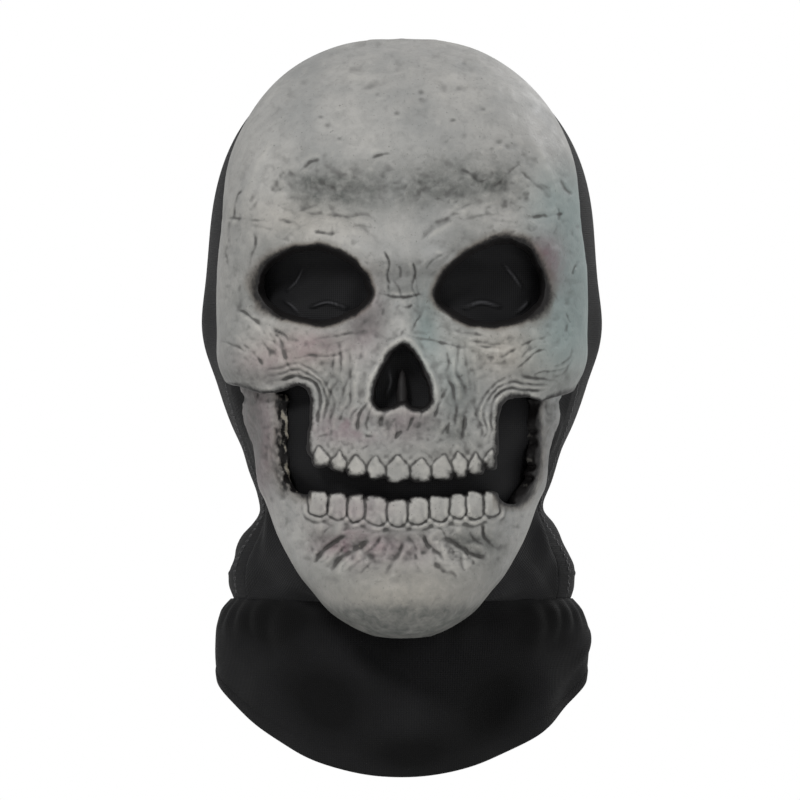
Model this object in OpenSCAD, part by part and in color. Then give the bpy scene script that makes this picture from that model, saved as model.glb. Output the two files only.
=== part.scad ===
// Slip-on skull mask: two soft latex castings, a skull face and a jaw that swings with the
// wearer's chin, on a black stretch-knit hood with a neck drape.
// Frame: millimetres, +Z up, the face looks along -Y, the origin is midway between the ears.

/* [Head] */
// Half width of the hood at the temples
hood_half_w = 87; // [84:0.5:92]
// Height of the hood's crown over the ear line
crown_h = 121; // [119:0.5:122]
// Depth of the hood behind the ear line
hood_back = 98; // [92:1:105]
// How far the ears push the knit out
ear_bulge = 4; // [2:0.5:6]

/* [Latex] */
// Wall of the latex castings
latex_t = 3; // [2.5:0.1:3]
// Half width of the skull casting at the temples
skull_half_w = 84.5; // [84:0.5:87]
// Height of the skull casting over the ear line
skull_top = 127; // [126.5:0.5:130]
// How far the cheekbones stand out
cheekbone = 3.5; // [2:0.25:5]
// Depth of the eye and nose recesses behind the skin
recess = 10; // [8:0.5:12]
// How far each tooth stands out
tooth_relief = 1.4; // [0.6:0.1:2]
// Teeth in each row
teeth = 10; // [8:1:12]

/* [Eye sockets] */
// Half width of a socket
eye_rx = 27.5; // [24:0.5:28.5]
// Half height of a socket
eye_rz = 19; // [16:0.5:21]
// Distance of a socket's middle from the midline
eye_x = 39.5; // [38:0.5:41]
// Height of a socket's middle
eye_z = 15; // [12:0.5:18]
// Rise of a socket's outer corner, in degrees
eye_tilt = 7; // [0:1:12]

/* [Fabric] */
// Thickness of the knit
knit_t = 1.4; // [1:0.1:1.8]
// Half width of the hood's centre panel
strip_half_w = 34; // [28:1:42]
// Lowest point of the drape, at the front
hem_front_z = -204; // [-212:1:-196]
// Height of the drape's hem at the sides
hem_side_z = -155; // [-160:1:-150]
// Lowest point of the drape, at the back
hem_back_z = -184; // [-195:1:-170]
// Depth of the drape's soft folds
fold_depth = 1.5; // [0:0.25:3]

/* [Hidden] */

gap = 0.4;           // air between pieces that are sewn or glued to each other
mesh_t = 0.8;        // gauze behind the openings
tape_t = 1;          // elastic and binding tapes
far = 400;           // longer than the mask, for cutting tools
temple_z = 24;       // height of the widest ring
chin_z = -100;       // where the jaw starts to close in towards the chin
chin_low = -142.5;   // lowest point of the jaw
neck_z = -126;       // height of the neck seam
gusset_top = -8;     // where the chin gusset ends, in front of the ears
hood_round = 2.4;    // roundness of the hood's crown
cast_round = 2.3;    // roundness of the casting's crown
ring_round = 2.2;    // roundness of the castings' level rings
teeth_low_x = -38;   // both rows of teeth, side to side
teeth_high_x = 41;
gum_z = -57;         // top of the upper teeth
root_z = -94;        // bottom of the lower teeth

// Knit hood: [height, half width], [height, front], [height, middle], [height, back]
hood_side = [
  [-126, 75.5], [-119, 77.5], [-112, 78], [-105, 76], [-98, 71.5], [-92, 67.5], [-85, 64.5],
  [-78, 65.5], [-65, 70], [-45, 77.5], [-30, 82], [-12, 85.5], [5, 86.5], [24, 87]
];
hood_fore = [[-126, -40], [-105, -38], [-85, -46], [-60, -68], [-30, -86], [0, -93], [24, -96]];
hood_mid = [[-126, 12], [-85, 12], [-30, 18], [24, 18]];
hood_aft = [[-126, 62], [-105, 60], [-85, 63], [-60, 75], [-30, 90], [0, 97], [24, 98]];
// Front edge of the hood seen from the side, [height, y]
hood_edge = [[-126, -10], [-80, -14], [-36, -20], [-8, -30], [4, -45], [50, -47], [80, -40], [118, -24], [140, -20]];

// Neck drape: [height, half width], [height, front], [height, back]
drape_side = [[-204, 72], [-180, 77], [-160, 79.5], [-146, 81.5], [-139, 82], [-132, 80], [-126, 75.5]];
drape_fore = [[-204, -62], [-180, -57], [-160, -50], [-148, -45], [-139, -42], [-126, -40]];
drape_aft = [[-204, 74], [-180, 75], [-160, 74], [-139, 69], [-126, 62]];

// Latex: [height, half width], [height, rim], [height, front]
skull_side = [
  [-142.5, 2], [-141, 13], [-135, 26], [-130, 33], [-122, 40], [-115, 46], [-105, 52],
  [-98, 55.5], [-85, 60.5], [-72, 65], [-58, 69.5], [-45, 74], [-32, 78], [-12, 82], [0, 83.5], [24, 84.5]
];
skull_rim = [
  [-142.5, -68], [-130, -62], [-118, -56], [-104, -45], [-85, -31], [-60, -31], [-40, -34],
  [0, -35], [40, -34], [70, -28], [90, -20], [110, -10], [127, -2]
];
skull_fore = [
  [-142.5, -76], [-139, -90], [-130, -98], [-120, -100], [-110, -97], [-100, -97], [-92, -100],
  [-80, -102], [-68, -104], [-42, -106], [-8, -105], [5, -101], [16, -100], [28, -104],
  [40, -102], [55, -98], [75, -88], [95, -70], [110, -49], [120, -29], [127, -3]
];

// Outlines seen from the front, as [x, z]. The skull and the jaw part along the cheekbones,
// down the inner side of each cheek opening, and between the rows of teeth.
skull_lower_edge = [
  [-100, -31], [-60, -32], [-47, -31], [-42, -36], [-41, -48], [-41, -60], [-38, -67], [-20, -71.5],
  [0, -73.5], [20, -72], [38, -67], [42, -60], [43, -48], [44, -40], [50, -34], [60, -34], [100, -33]
];
jaw_upper_edge = [
  [-100, -22], [-62, -22], [-56, -30], [-55, -60], [-54, -77], [-43, -77], [-20, -78], [0, -80],
  [20, -79], [42, -77], [46, -83], [54, -82], [59, -72], [60, -55], [60, -40], [63, -24], [100, -24]
];
nose_edge = [
  [-2, -11], [-7, -16], [-11.5, -22.5], [-14, -30], [-15, -37], [-12.5, -41], [-5.5, -40.5],
  [0, -37.5], [5.5, -40.5], [12.5, -41], [15, -37], [13.5, -30], [10, -21.5], [6, -15.5], [4, -11]
];

function mix(a, b, t) = a + (b - a) * t;
function clamp01(t) = min(1, max(0, t));
function ease(t) = let (c = clamp01(t)) c * c * (3 - 2 * c);
function bump(d, width) = exp(-d * d / (width * width));
function signed_pow(v, p) = sign(v) * pow(abs(v), p);
function spread(a, b, count) = [for (i = [0 : count]) mix(a, b, i / count)];
function flip_x(outline) = [for (p = outline) [-p[0], p[1]]];

// How much a ring shrinks over the temples, and where it sits when the skin is offset.
function dome(z, top, power) =
  pow(max(0, 1 - pow(clamp01((z - temple_z) / (top - temple_z)), power)), 1 / power);
function moved_z(z, top, off) =
  z > temple_z ? temple_z + (z - temple_z) * (top + off - temple_z) / (top - temple_z) : z;

// A point of the hood's knit. Angle 0 is the face, 90 is +X, and off grows the shape outwards.
function hood_half(z) = lookup(z, hood_side) * hood_half_w / 87;
function hood_middle(z) = lookup(z, hood_mid);
function hood_front_depth(z) = hood_middle(z) - lookup(z, hood_fore);
function hood_point(z, angle, off) =
  let (
    k = dome(z, crown_h, hood_round),
    depth = cos(angle) > 0 ? hood_front_depth(z) : lookup(z, hood_aft) * hood_back / 98 - hood_middle(z),
    y = hood_middle(z) - (depth + off) * k * cos(angle),
    bulge = ear_bulge * bump(y - 12, 17) * bump(z + 4, 24)
  )
  [((hood_half(z) + off) * k + bulge) * sin(angle), y, moved_z(z, crown_h, off)];
function hood_edge_angle(z) = acos((hood_middle(z) - lookup(z, hood_edge) + 0.6) / hood_front_depth(z));

// Extra height of the castings' skin: cheekbones, brow, and the jaw's tuck under the cheekbones.
function cheek_relief(x, z) = cheekbone * bump(abs(x) - 48, 16) * bump(z + 14, 14);
function brow_relief(x, z) = 3 * bump(z - 34, 12) * ease((60 - abs(x)) / 30);
function jaw_tuck(z) = (latex_t + 1.2) * ease((z + 48) / 14);

// A point of a latex casting. Angles -90 and 90 are the rims beside the face.
function cast_point(z, angle, off, upper) =
  let (
    k = dome(z, skull_top, cast_round),
    w = max(0.3, lookup(z, skull_side) * skull_half_w / 84.5 * k + off * max(k, 0.3)),
    rim = lookup(z, skull_rim),
    depth = max(0.6, rim - lookup(z, skull_fore) + off),
    sx = signed_pow(sin(angle), 2 / ring_round),
    cy = signed_pow(cos(angle), 2 / ring_round),
    x = w * sx,
    relief = upper ? cheek_relief(x, z) + brow_relief(x, z) : -jaw_tuck(z),
    low = z < chin_z ? chin_z + (z - chin_z) * (chin_z - chin_low + off) / (chin_z - chin_low) : z
  )
  [x + relief * sx, rim - (depth + relief) * cy, z > temple_z ? moved_z(z, skull_top, off) : low];

// A point of the neck drape. Part 0 is the neck seam and 1 is the hem.
function hem_z(angle) =
  hem_side_z + (cos(angle) > 0 ? hem_front_z - hem_side_z : hem_back_z - hem_side_z) * abs(cos(angle));
function drape_point(part, angle, off) =
  let (
    z = mix(neck_z - 1, hem_z(angle), part),
    mid = 12,
    depth = cos(angle) > 0 ? mid - lookup(z, drape_fore) : lookup(z, drape_aft) - mid,
    fold = fold_depth * part * cos(5 * angle + 20)
  )
  [(lookup(z, drape_side) + off + fold) * sin(angle), mid - (depth + off + fold) * cos(angle), z];

// A point of the chin gusset. Across runs from -1 (left ear) over 0 (chin) to 1 (right ear),
// and part runs from the hood's seam (0) to the jaw's rim (1) and on inside the jaw (2).
function gusset_seam(across, off) =
  let (t = abs(across), s = sign(across), turn = 0.42)
  t > turn
    ? let (z = mix(neck_z + 1, gusset_top, (t - turn) / (1 - turn))) hood_point(z, s * hood_edge_angle(z), off)
    : hood_point(neck_z + 1, s * hood_edge_angle(neck_z + 1) * t / turn, off);
function gusset_point(across, part, off) =
  let (
    z = mix(chin_low + 0.2, gusset_top, pow(abs(across), 1.25)),
    s = across < 0 ? -1 : 1,
    inside = off - latex_t - 3 * gap,
    seam = gusset_seam(across, off),
    rim = cast_point(z, s * 90, inside, false),
    end = cast_point(z, s * 83, inside, false)
  )
  part < 1 ? mix(seam, rim, part) : mix(rim, end, part - 1);

// Faces of a grid of points, n rows of m points, and of the wall between two of its edges.
function quads(n, m, start, flip) = [
  for (i = [0 : n - 2], j = [0 : m - 2])
    let (a = start + i * m + j, b = a + 1, c = a + m + 1, d = a + m)
    each (flip ? [[a, c, b], [a, d, c]] : [[a, b, c], [a, c, d]])
];
function wall(a, half, flip) = [
  for (i = [0 : len(a) - 2])
    let (p = a[i], q = a[i + 1], r = q + half, s = p + half)
    each (flip ? [[p, r, s], [p, q, r]] : [[p, s, r], [p, r, q]])
];

// A closed solid between two grids of points. Rows run down and columns run towards +X.
module slab(outer, inner) {
  n = len(outer);
  m = len(outer[0]);
  half = n * m;
  polyhedron(
    [for (row = outer) each row, for (row = inner) each row],
    concat(
      quads(n, m, 0, false), quads(n, m, half, true),
      wall([for (j = [0 : m - 1]) j], half, false),
      wall([for (j = [0 : m - 1]) (n - 1) * m + j], half, true),
      wall([for (i = [0 : n - 1]) i * m], half, true),
      wall([for (i = [0 : n - 1]) i * m + m - 1], half, false)
    )
  );
}

// The same for grids that close on themselves. A capped one is shut over its first row.
module ring_slab(outer, inner, capped) {
  n = len(outer);
  m = len(outer[0]);
  half = n * m;
  function at(i, j, base) = base + i * m + j % m;
  function skin(base, flip) = [
    for (i = [0 : n - 2], j = [0 : m - 1])
      let (a = at(i, j, base), b = at(i, j + 1, base), c = at(i + 1, j + 1, base), d = at(i + 1, j, base))
      each (flip ? [[a, c, b], [a, d, c]] : [[a, b, c], [a, c, d]])
  ];
  function edge(i) = [for (j = [0 : m]) i * m + j % m];
  polyhedron(
    [for (row = outer) each row, for (row = inner) each row],
    concat(
      skin(0, false), skin(half, true), wall(edge(n - 1), half, true),
      capped ? [[for (j = [m - 1 : -1 : 0]) j], [for (j = [0 : m - 1]) half + j]] : wall(edge(0), half, false)
    )
  );
}

module cast_patch(heights, angles, off_out, off_in, upper) {
  slab(
    [for (z = heights) [for (a = angles) cast_point(z, a, off_out, upper)]],
    [for (z = heights) [for (a = angles) cast_point(z, a, off_in, upper)]]
  );
}

// Tools that cut along Y or along X through an outline.
module front_tool(outline) {
  rotate([90, 0, 0]) linear_extrude(height = far, center = true) polygon(outline);
}
module side_tool(outline) {
  rotate([90, 0, 90]) linear_extrude(height = far, center = true) polygon(outline);
}
function below(edge) = concat([[100, -far], [-100, -far]], edge);
function above(edge) = concat([[100, far], [-100, far]], edge);
function eye_outline(side, grow) = [
  for (a = [0 : 15 : 345])
    let (u = (eye_rx + grow) * cos(a), v = (eye_rz + grow) * sin(a))
    [side * (eye_x + u * cos(eye_tilt) - v * sin(eye_tilt)), eye_z + u * sin(eye_tilt) + v * cos(eye_tilt)]
];
function grown_nose(grow) = [
  for (p = nose_edge) let (c = [0, -29], d = p - c) c + d * (1 + grow / norm(d))
];

// Outline of one tooth, from its free edge to its rounded root.
function tooth_outline(i, free_edge, root) =
  let (
    step = (teeth_high_x - teeth_low_x) / teeth,
    a = teeth_low_x + i * step + 0.6,
    b = a + step - 1.2,
    za = lookup(a, free_edge),
    zb = lookup(b, free_edge),
    back = sign(root - za) * 3
  )
  [[a, za], [a, root - back], [a + step * 0.28, root], [b - step * 0.28, root], [b, root - back], [b, zb]];

module tooth_row(free_edge, root, heights, base, upper) {
  intersection() {
    cast_patch(heights, spread(-46, 46, 14), base + tooth_relief, base - latex_t / 2, upper);
    union() for (i = [0 : teeth - 1]) front_tool(tooth_outline(i, free_edge, root));
  }
}

eye_heights = spread(44, -14, 9);
function eye_angles(side) = side > 0 ? spread(2, 80, 9) : spread(-80, -2, 9);

// Turned-in wall round one eye socket, from the skin to the gauze.
module eye_flange(side) {
  intersection() {
    cast_patch(eye_heights, eye_angles(side), -latex_t / 2, -recess, true);
    difference() {
      front_tool(eye_outline(side, 2.2));
      front_tool(eye_outline(side, 0));
    }
  }
}

// Turned-in wall round the nose opening, with the septum down its middle.
module nose_flange() {
  intersection() {
    cast_patch(spread(-4, -48, 6), spread(-24, 24, 6), -latex_t / 2, -recess, true);
    union() {
      difference() {
        front_tool(grown_nose(2.2));
        front_tool(nose_edge);
      }
      front_tool([[-0.9, -39], [0.9, -39], [0.9, -11], [-0.9, -11]]);
    }
  }
}

// Upper latex casting: forehead, sockets, nose, cheekbones and upper teeth.
module skull_face() {
  heights = concat([126.8, 125.5, 123, 118, 113, 107, 100], spread(92, 28, 8), spread(20, -28, 8), spread(-34, -76, 6));
  color([0.62, 0.61, 0.58]) {
    difference() {
      cast_patch(heights, spread(-90, 90, 32), 0, -latex_t, true);
      front_tool(below(skull_lower_edge));
      for (side = [-1, 1]) front_tool(eye_outline(side, 0));
      front_tool(nose_edge);
    }
    tooth_row(skull_lower_edge, gum_z, spread(-54, -76, 3), 0, true);
    for (side = [-1, 1]) eye_flange(side);
    nose_flange();
  }
}

// Lower latex casting: both sides of the jaw, the lower teeth and the chin.
module jaw() {
  heights = concat(spread(-20, -96, 11), [-102, -109, -116, -123, -130, -135, -139, -141, -142.2]);
  color([0.6, 0.59, 0.56]) {
    difference() {
      cast_patch(heights, spread(-90, 90, 32), -gap, -gap - latex_t, false);
      front_tool(above(jaw_upper_edge));
    }
    tooth_row(jaw_upper_edge, root_z, spread(-74, -98, 3), -gap, false);
  }
}

// Gauze glued behind one eye socket.
module eye_mesh(side) {
  color([0.08, 0.08, 0.08]) intersection() {
    cast_patch(eye_heights, eye_angles(side), -recess - 0.1, -recess - mesh_t, true);
    front_tool(eye_outline(side, 2.2));
  }
}
module eye_mesh_left() { eye_mesh(-1); }
module eye_mesh_right() { eye_mesh(1); }

// Gauze glued behind the nose opening.
module nose_mesh() {
  color([0.09, 0.09, 0.09]) intersection() {
    cast_patch(spread(-4, -48, 5), spread(-24, 24, 6), -recess - 0.1, -recess - mesh_t, true);
    front_tool(grown_nose(2.2));
  }
}

// Gauze behind the mouth and both cheek openings. It stretches as the jaw opens.
module mouth_mesh() {
  color([0.08, 0.08, 0.08]) difference() {
    cast_patch(spread(-26, -97, 8), spread(-80, 80, 20), -latex_t - 1.6, -latex_t - 1.6 - mesh_t, false);
    front_tool(grown_nose(3.5));
  }
}

hood_heights = concat(
  [for (drop = [0.2, 0.9, 2.5, 5.5, 10.5, 17, 24]) crown_h - drop],
  spread(88, 24, 6), spread(8, -82, 8), [-90, -97, -105, -112, -119, neck_z]
);
hood_edge_outline = [for (i = [len(hood_edge) - 1 : -1 : 0]) [hood_edge[i][1], hood_edge[i][0]]];

// The whole knit hood between two offsets, open at the face and at the neck.
module hood_skin(off_out, off_in) {
  angles = [for (a = [0 : 7.5 : 352.5]) a];
  difference() {
    ring_slab(
      [for (z = hood_heights) [for (a = angles) hood_point(z, a, off_out)]],
      [for (z = hood_heights) [for (a = angles) hood_point(z, a, off_in)]],
      true
    );
    side_tool(concat([[-far, 140]], hood_edge_outline, [[-10, -far], [-far, -far]]));
  }
}
module hood_panel(low_x, high_x) {
  resize([0, 0, 0]) intersection() {
    hood_skin(0, -knit_t);
    translate([low_x, -far / 2, -far / 2]) cube([high_x - low_x, far, far]);
  }
}
module hood_crown() { color([0.11, 0.11, 0.115]) hood_panel(-strip_half_w, strip_half_w); }
module hood_left() { color([0.12, 0.12, 0.125]) hood_panel(-far / 2, -strip_half_w - gap); }
module hood_right() { color([0.12, 0.12, 0.125]) hood_panel(strip_half_w + gap, far / 2); }

// Elastic sewn inside the edge of the face opening, from one cheek over the crown to the other.
module face_elastic() {
  low = -33;
  tape_w = 8;
  shifted = [for (i = [0 : len(hood_edge) - 1]) [hood_edge[i][1] + tape_w, hood_edge[i][0]]];
  color([0.05, 0.05, 0.05]) resize([0, 0, 0]) intersection() {
    hood_skin(-knit_t - gap, -knit_t - gap - tape_t);
    side_tool(concat(hood_edge_outline, shifted));
    translate([-far / 2, -far / 2, low]) cube(far);
  }
}

// Stretch panel under the jaw, from ear to ear. It gives as the jaw opens.
module chin_gusset() {
  parts = [0, 0.25, 0.5, 0.75, 1, 1.5, 2];
  across = [for (i = [-18 : 18]) i / 18];
  color([0.1, 0.1, 0.105]) slab(
    [for (p = parts) [for (a = across) gusset_point(a, 2 - p, 0)]],
    [for (p = parts) [for (a = across) gusset_point(a, 2 - p, -knit_t)]]
  );
}

// Half of the neck drape, between two angles.
module drape_half(from, to) {
  angles = spread(from, to, 24);
  parts = [0, 0.12, 0.25, 0.42, 0.6, 0.8, 1];
  slab(
    [for (p = parts) [for (a = angles) drape_point(p, a, 0)]],
    [for (p = parts) [for (a = angles) drape_point(p, a, -knit_t)]]
  );
}
module drape_front() { color([0.11, 0.11, 0.115]) drape_half(-89.6, 89.6); }
module drape_back() { color([0.11, 0.11, 0.115]) drape_half(90.4, 269.6); }

// Tape inside the neck seam, right round.
module neck_tape() {
  angles = [for (a = [0 : 7.5 : 352.5]) a];
  off = -knit_t - 3 * gap;
  color([0.05, 0.05, 0.05]) ring_slab(
    [[for (a = angles) hood_point(neck_z + 5, a, off)], [for (a = angles) drape_point(0, a, off)],
     [for (a = angles) drape_point(0, a, off) - [0, 0, 4]]],
    [[for (a = angles) hood_point(neck_z + 5, a, off - tape_t)], [for (a = angles) drape_point(0, a, off - tape_t)],
     [for (a = angles) drape_point(0, a, off - tape_t) - [0, 0, 4]]],
    false
  );
}

// Turned and stitched hem, as a tape inside the edge of the drape.
module hem_binding() {
  angles = [for (a = [0 : 7.5 : 352.5]) a];
  off = -knit_t - gap;
  color([0.07, 0.07, 0.07]) ring_slab(
    [for (p = [0.86, 0.93, 0.995]) [for (a = angles) drape_point(p, a, off)]],
    [for (p = [0.86, 0.93, 0.995]) [for (a = angles) drape_point(p, a, off - tape_t)]],
    false
  );
}

skull_face();
jaw();
eye_mesh_left();
eye_mesh_right();
nose_mesh();
mouth_mesh();
hood_crown();
hood_left();
hood_right();
face_elastic();
chin_gusset();
drape_front();
drape_back();
neck_tape();
hem_binding();
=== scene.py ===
"""A latex skull mask on a black stretch-knit hood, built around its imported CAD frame.

Sizes in the sculpting functions are millimetres in the part's own frame: +Z up, the face looks
along -Y, +X is a viewer's right, and the origin is midway between the ears.
"""
import math

import bmesh
import bpy
import numpy as np
import openvdb
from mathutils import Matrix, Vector


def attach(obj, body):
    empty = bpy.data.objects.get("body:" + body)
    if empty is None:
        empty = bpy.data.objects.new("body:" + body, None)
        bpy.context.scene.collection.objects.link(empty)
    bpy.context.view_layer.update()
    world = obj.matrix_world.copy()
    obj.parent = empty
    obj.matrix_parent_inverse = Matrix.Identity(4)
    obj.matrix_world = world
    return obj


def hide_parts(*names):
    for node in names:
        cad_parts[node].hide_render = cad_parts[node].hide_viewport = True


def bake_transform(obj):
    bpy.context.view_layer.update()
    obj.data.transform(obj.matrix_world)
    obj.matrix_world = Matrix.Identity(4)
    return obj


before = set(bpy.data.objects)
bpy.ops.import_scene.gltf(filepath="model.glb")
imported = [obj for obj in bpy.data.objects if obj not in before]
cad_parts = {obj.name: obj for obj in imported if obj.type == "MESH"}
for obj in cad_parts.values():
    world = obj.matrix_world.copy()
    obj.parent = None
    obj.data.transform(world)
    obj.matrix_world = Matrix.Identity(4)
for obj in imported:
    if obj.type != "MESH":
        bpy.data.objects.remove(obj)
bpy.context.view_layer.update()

MM = 0.001

# ---------------------------------------------------------------- small maths


def ease(t):
    t = np.clip(t, 0.0, 1.0)
    return t * t * (3 - 2 * t)


def bump(distance, width):
    return np.exp(-((distance / width) ** 2))


def smooth_max(a, b, k):
    """The larger of two distances, with the corner between them rounded over about k mm."""
    h = np.clip(0.5 + 0.5 * (a - b) / k, 0.0, 1.0)
    return b + (a - b) * h + k * h * (1 - h)


def smooth_min(a, b, k):
    return -smooth_max(-a, -b, k)


def table(*pairs):
    """A smooth function of height through (height, value) pairs, with no overshoot."""
    heights = np.array([p[0] for p in pairs], float)
    values = np.array([p[1] for p in pairs], float)
    rise = np.diff(values) / np.diff(heights)
    same_way = rise[1:] * rise[:-1] > 0
    middle = np.where(same_way, 2 * rise[1:] * rise[:-1] / np.where(same_way, rise[1:] + rise[:-1], 1), 0)
    slope = np.concatenate([rise[:1], middle, rise[-1:]])

    def read(z):
        z = np.clip(z, heights[0], heights[-1])
        i = np.clip(np.searchsorted(heights, z) - 1, 0, len(rise) - 1)
        width = heights[i + 1] - heights[i]
        t = (z - heights[i]) / width
        a, b = values[i], values[i + 1]
        return (a * (1 + 2 * t) * (1 - t) ** 2 + b * t * t * (3 - 2 * t)
                + width * t * (1 - t) * (slope[i] * (1 - t) - slope[i + 1] * t))

    return read


def curve_through(points, closed=False, per_span=6):
    """Points along a Catmull-Rom curve through the given ones."""
    p = np.array(points, float)
    n = len(p)
    spans = n if closed else n - 1
    t = np.linspace(0, 1, per_span, endpoint=False)[:, None]
    out = []
    for i in range(spans):
        if closed:
            a, b, c, d = p[(i - 1) % n], p[i], p[(i + 1) % n], p[(i + 2) % n]
        else:
            a, b, c, d = p[max(i - 1, 0)], p[i], p[i + 1], p[min(i + 2, n - 1)]
        bend, twist = 2 * a - 5 * b + 4 * c - d, 3 * b - 3 * c + d - a
        out.append(0.5 * (2 * b + (c - a) * t + bend * t**2 + twist * t**3))
    if not closed:
        out.append(p[-1:])
    return np.concatenate(out)


# ---------------------------------------------------------------- maps over the face, seen from the front

PITCH = 0.5
MAP_X = np.arange(-92, 92.01, PITCH)
MAP_Z = np.arange(-146, 130.01, PITCH)
GX, GZ = np.meshgrid(MAP_X, MAP_Z, indexing="ij")
AX = np.abs(GX)


def blob(x, z, rx, rz, turn=0.0):
    """A soft round mound of height 1 on the map."""
    c, s = math.cos(math.radians(turn)), math.sin(math.radians(turn))
    u = (GX - x) * c + (GZ - z) * s
    v = -(GX - x) * s + (GZ - z) * c
    return np.exp(-((u / rx) ** 2) - (v / rz) ** 2)


def both(x, z, rx, rz, turn=0.0):
    return blob(x, z, rx, rz, turn) + blob(-x, z, rx, rz, -turn)


def spots(*rows):
    """A sum of soft spots, each given as its strength followed by its blob."""
    return sum(strength * blob(*row) for strength, *row in rows)


def noise(cell, seed, stretch=(1.0, 1.0)):
    """Smooth noise from -1 to 1 over the map, with bumps about one cell across."""
    rng = np.random.default_rng(seed)
    u = (GX - MAP_X[0]) / (cell * stretch[0])
    v = (GZ - MAP_Z[0]) / (cell * stretch[1])
    grid = rng.uniform(-1, 1, (int(u.max()) + 3, int(v.max()) + 3))
    i, j = u.astype(int), v.astype(int)
    fu, fv = ease(u - i), ease(v - j)
    top = grid[i, j] * (1 - fu) + grid[i + 1, j] * fu
    low = grid[i, j + 1] * (1 - fu) + grid[i + 1, j + 1] * fu
    return top * (1 - fv) + low * fv


def rough(cell, seed, octaves=4, stretch=(1.0, 1.0)):
    return sum(noise(cell / 2**o, seed + o, stretch) / 1.9**o for o in range(octaves))


def near(points, reach):
    """The window of the map within reach of some points."""
    p = np.asarray(points)
    low, high = p.min(0) - reach, p.max(0) + reach
    i0, j0 = np.searchsorted(MAP_X, low[0]), np.searchsorted(MAP_Z, low[1])
    i1, j1 = np.searchsorted(MAP_X, high[0]), np.searchsorted(MAP_Z, high[1])
    return slice(i0, max(i1, i0 + 1)), slice(j0, max(j1, j0 + 1))


WANDER_X, WANDER_Z = 0.5 * rough(5.5, 701, 3), 0.5 * rough(5.5, 711, 3)
BROKEN = np.clip(0.75 + 0.6 * rough(4.5, 721, 2), 0.15, 1.25)


def wandering(window):
    """The places of a window of the map, moved about a little, so that lines look cut by hand."""
    return GX[window] + WANDER_X[window], GZ[window] + WANDER_Z[window]


def to_line(points, x, z):
    """Distance from each place to a line, how far along the line that is, from 0 to 1, and on which
    side of it."""
    p = np.asarray(points, float)
    best = np.full(x.shape, 1e9)
    along, side = np.zeros(x.shape), np.ones(x.shape)
    spans = len(p) - 1
    for i, (a, b) in enumerate(zip(p[:-1], p[1:])):
        d = b - a
        t = np.clip(((x - a[0]) * d[0] + (z - a[1]) * d[1]) / max(d @ d, 1e-9), 0, 1)
        distance = np.hypot(x - a[0] - t * d[0], z - a[1] - t * d[1])
        closer = distance < best
        best = np.where(closer, distance, best)
        along = np.where(closer, (i + t) / spans, along)
        side = np.where(closer, np.sign(d[0] * (z - a[1]) - d[1] * (x - a[0])), side)
    return best, along, side


def outline_distance(points, reach=None):
    """Signed distance to a closed outline, negative inside. Past reach it stays at reach."""
    window = near(points, reach) if reach else (slice(None), slice(None))
    x, z = wandering(window)
    p = np.asarray(points, float)
    distance = to_line(np.vstack([p, p[:1]]), x, z)[0]
    inside = np.zeros(x.shape, bool)
    for a, b in zip(p, np.roll(p, -1, axis=0)):
        if a[1] == b[1]:
            continue
        crosses = (a[1] > z) != (b[1] > z)
        inside ^= crosses & (x < (b[0] - a[0]) * (z - a[1]) / (b[1] - a[1]) + a[0])
    result = np.full(GX.shape, float(reach or 0))
    result[window] = np.where(inside, -distance, distance)
    return result


class Relief:
    """Small relief on one casting: height outwards, how deep the creases are, and the painted shade in
    them.
    """

    def __init__(self):
        self.height = np.zeros(GX.shape)
        self.crease_shade = np.zeros(GX.shape)

    def crease(self, points, depth, width, lip=0.35, crease_shade=1.0, tail=0.2):
        """A cut that fades at both ends, with a soft roll of skin along its left side."""
        line = curve_through(points, per_span=5)
        window = near(line, width * 7)
        distance, along, side = to_line(line, *wandering(window))
        fade = ease(along / tail) * ease((1 - along) / tail) * BROKEN[window]
        cut = bump(distance, width) * fade
        self.height[window] -= depth * cut
        self.height[window] += depth * lip * bump(side * distance - width * 3, width * 2.2) * fade
        # painted shade along the bottom of the cut
        self.crease_shade[window] = np.maximum(self.crease_shade[window], 0.5 * crease_shade * cut)

    def fold(self, points, height, width):
        """A soft raised fold."""
        line = curve_through(points, per_span=5)
        window = near(line, width * 3)
        distance, along, _ = to_line(line, *wandering(window))
        fade = ease(along / 0.25) * ease((1 - along) / 0.25)
        self.height[window] += height * bump(distance, width) * fade


# Outlines of the openings, seen from the front
EYE_LEFT = curve_through([
    (-13, 11.5), (-15.5, 18.5), (-22, 26.3), (-31, 31.5), (-42, 32.5), (-53, 29.8), (-61, 23.8),
    (-64, 15.5), (-62, 8), (-55, 2.2), (-45, -1.4), (-34, -2.3), (-24.5, 0.5), (-16.5, 5.5)], closed=True)
EYE_RIGHT = curve_through([
    (14, 11.5), (18, 20), (25, 27.5), (34, 32.6), (44, 36.2), (53, 34), (60, 27),
    (63.8, 17.5), (63, 8), (56, 0.8), (46, -2.8), (35, -3.4), (25.5, -0.2), (17, 5.2)], closed=True)
NOSE = curve_through([
    (-1, -11.5), (-5, -15), (-9.5, -23), (-12.8, -32), (-12.6, -37.5), (-9, -40.2), (-4.5, -39.6),
    (0, -37.8), (5, -39.6), (9.5, -40.2), (13.2, -37.5), (12.8, -31), (9.2, -21.5), (5, -15),
    (1.6, -11.5)], closed=True)
SKULL_EDGE = curve_through([
    (-100, -30), (-84, -28.5), (-74, -29.5), (-63, -33), (-53, -32), (-46.5, -29.5), (-42, -32.5),
    (-40.5, -40), (-41.5, -50), (-41.5, -59), (-37.5, -64.5), (-20, -68.5), (1, -71.5), (22, -69.3),
    (38.5, -65.5), (42.5, -59), (42.5, -48), (43, -41), (46.5, -36), (53, -34.5), (62, -36.5), (72, -34),
    (84, -31), (100, -32)])
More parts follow.
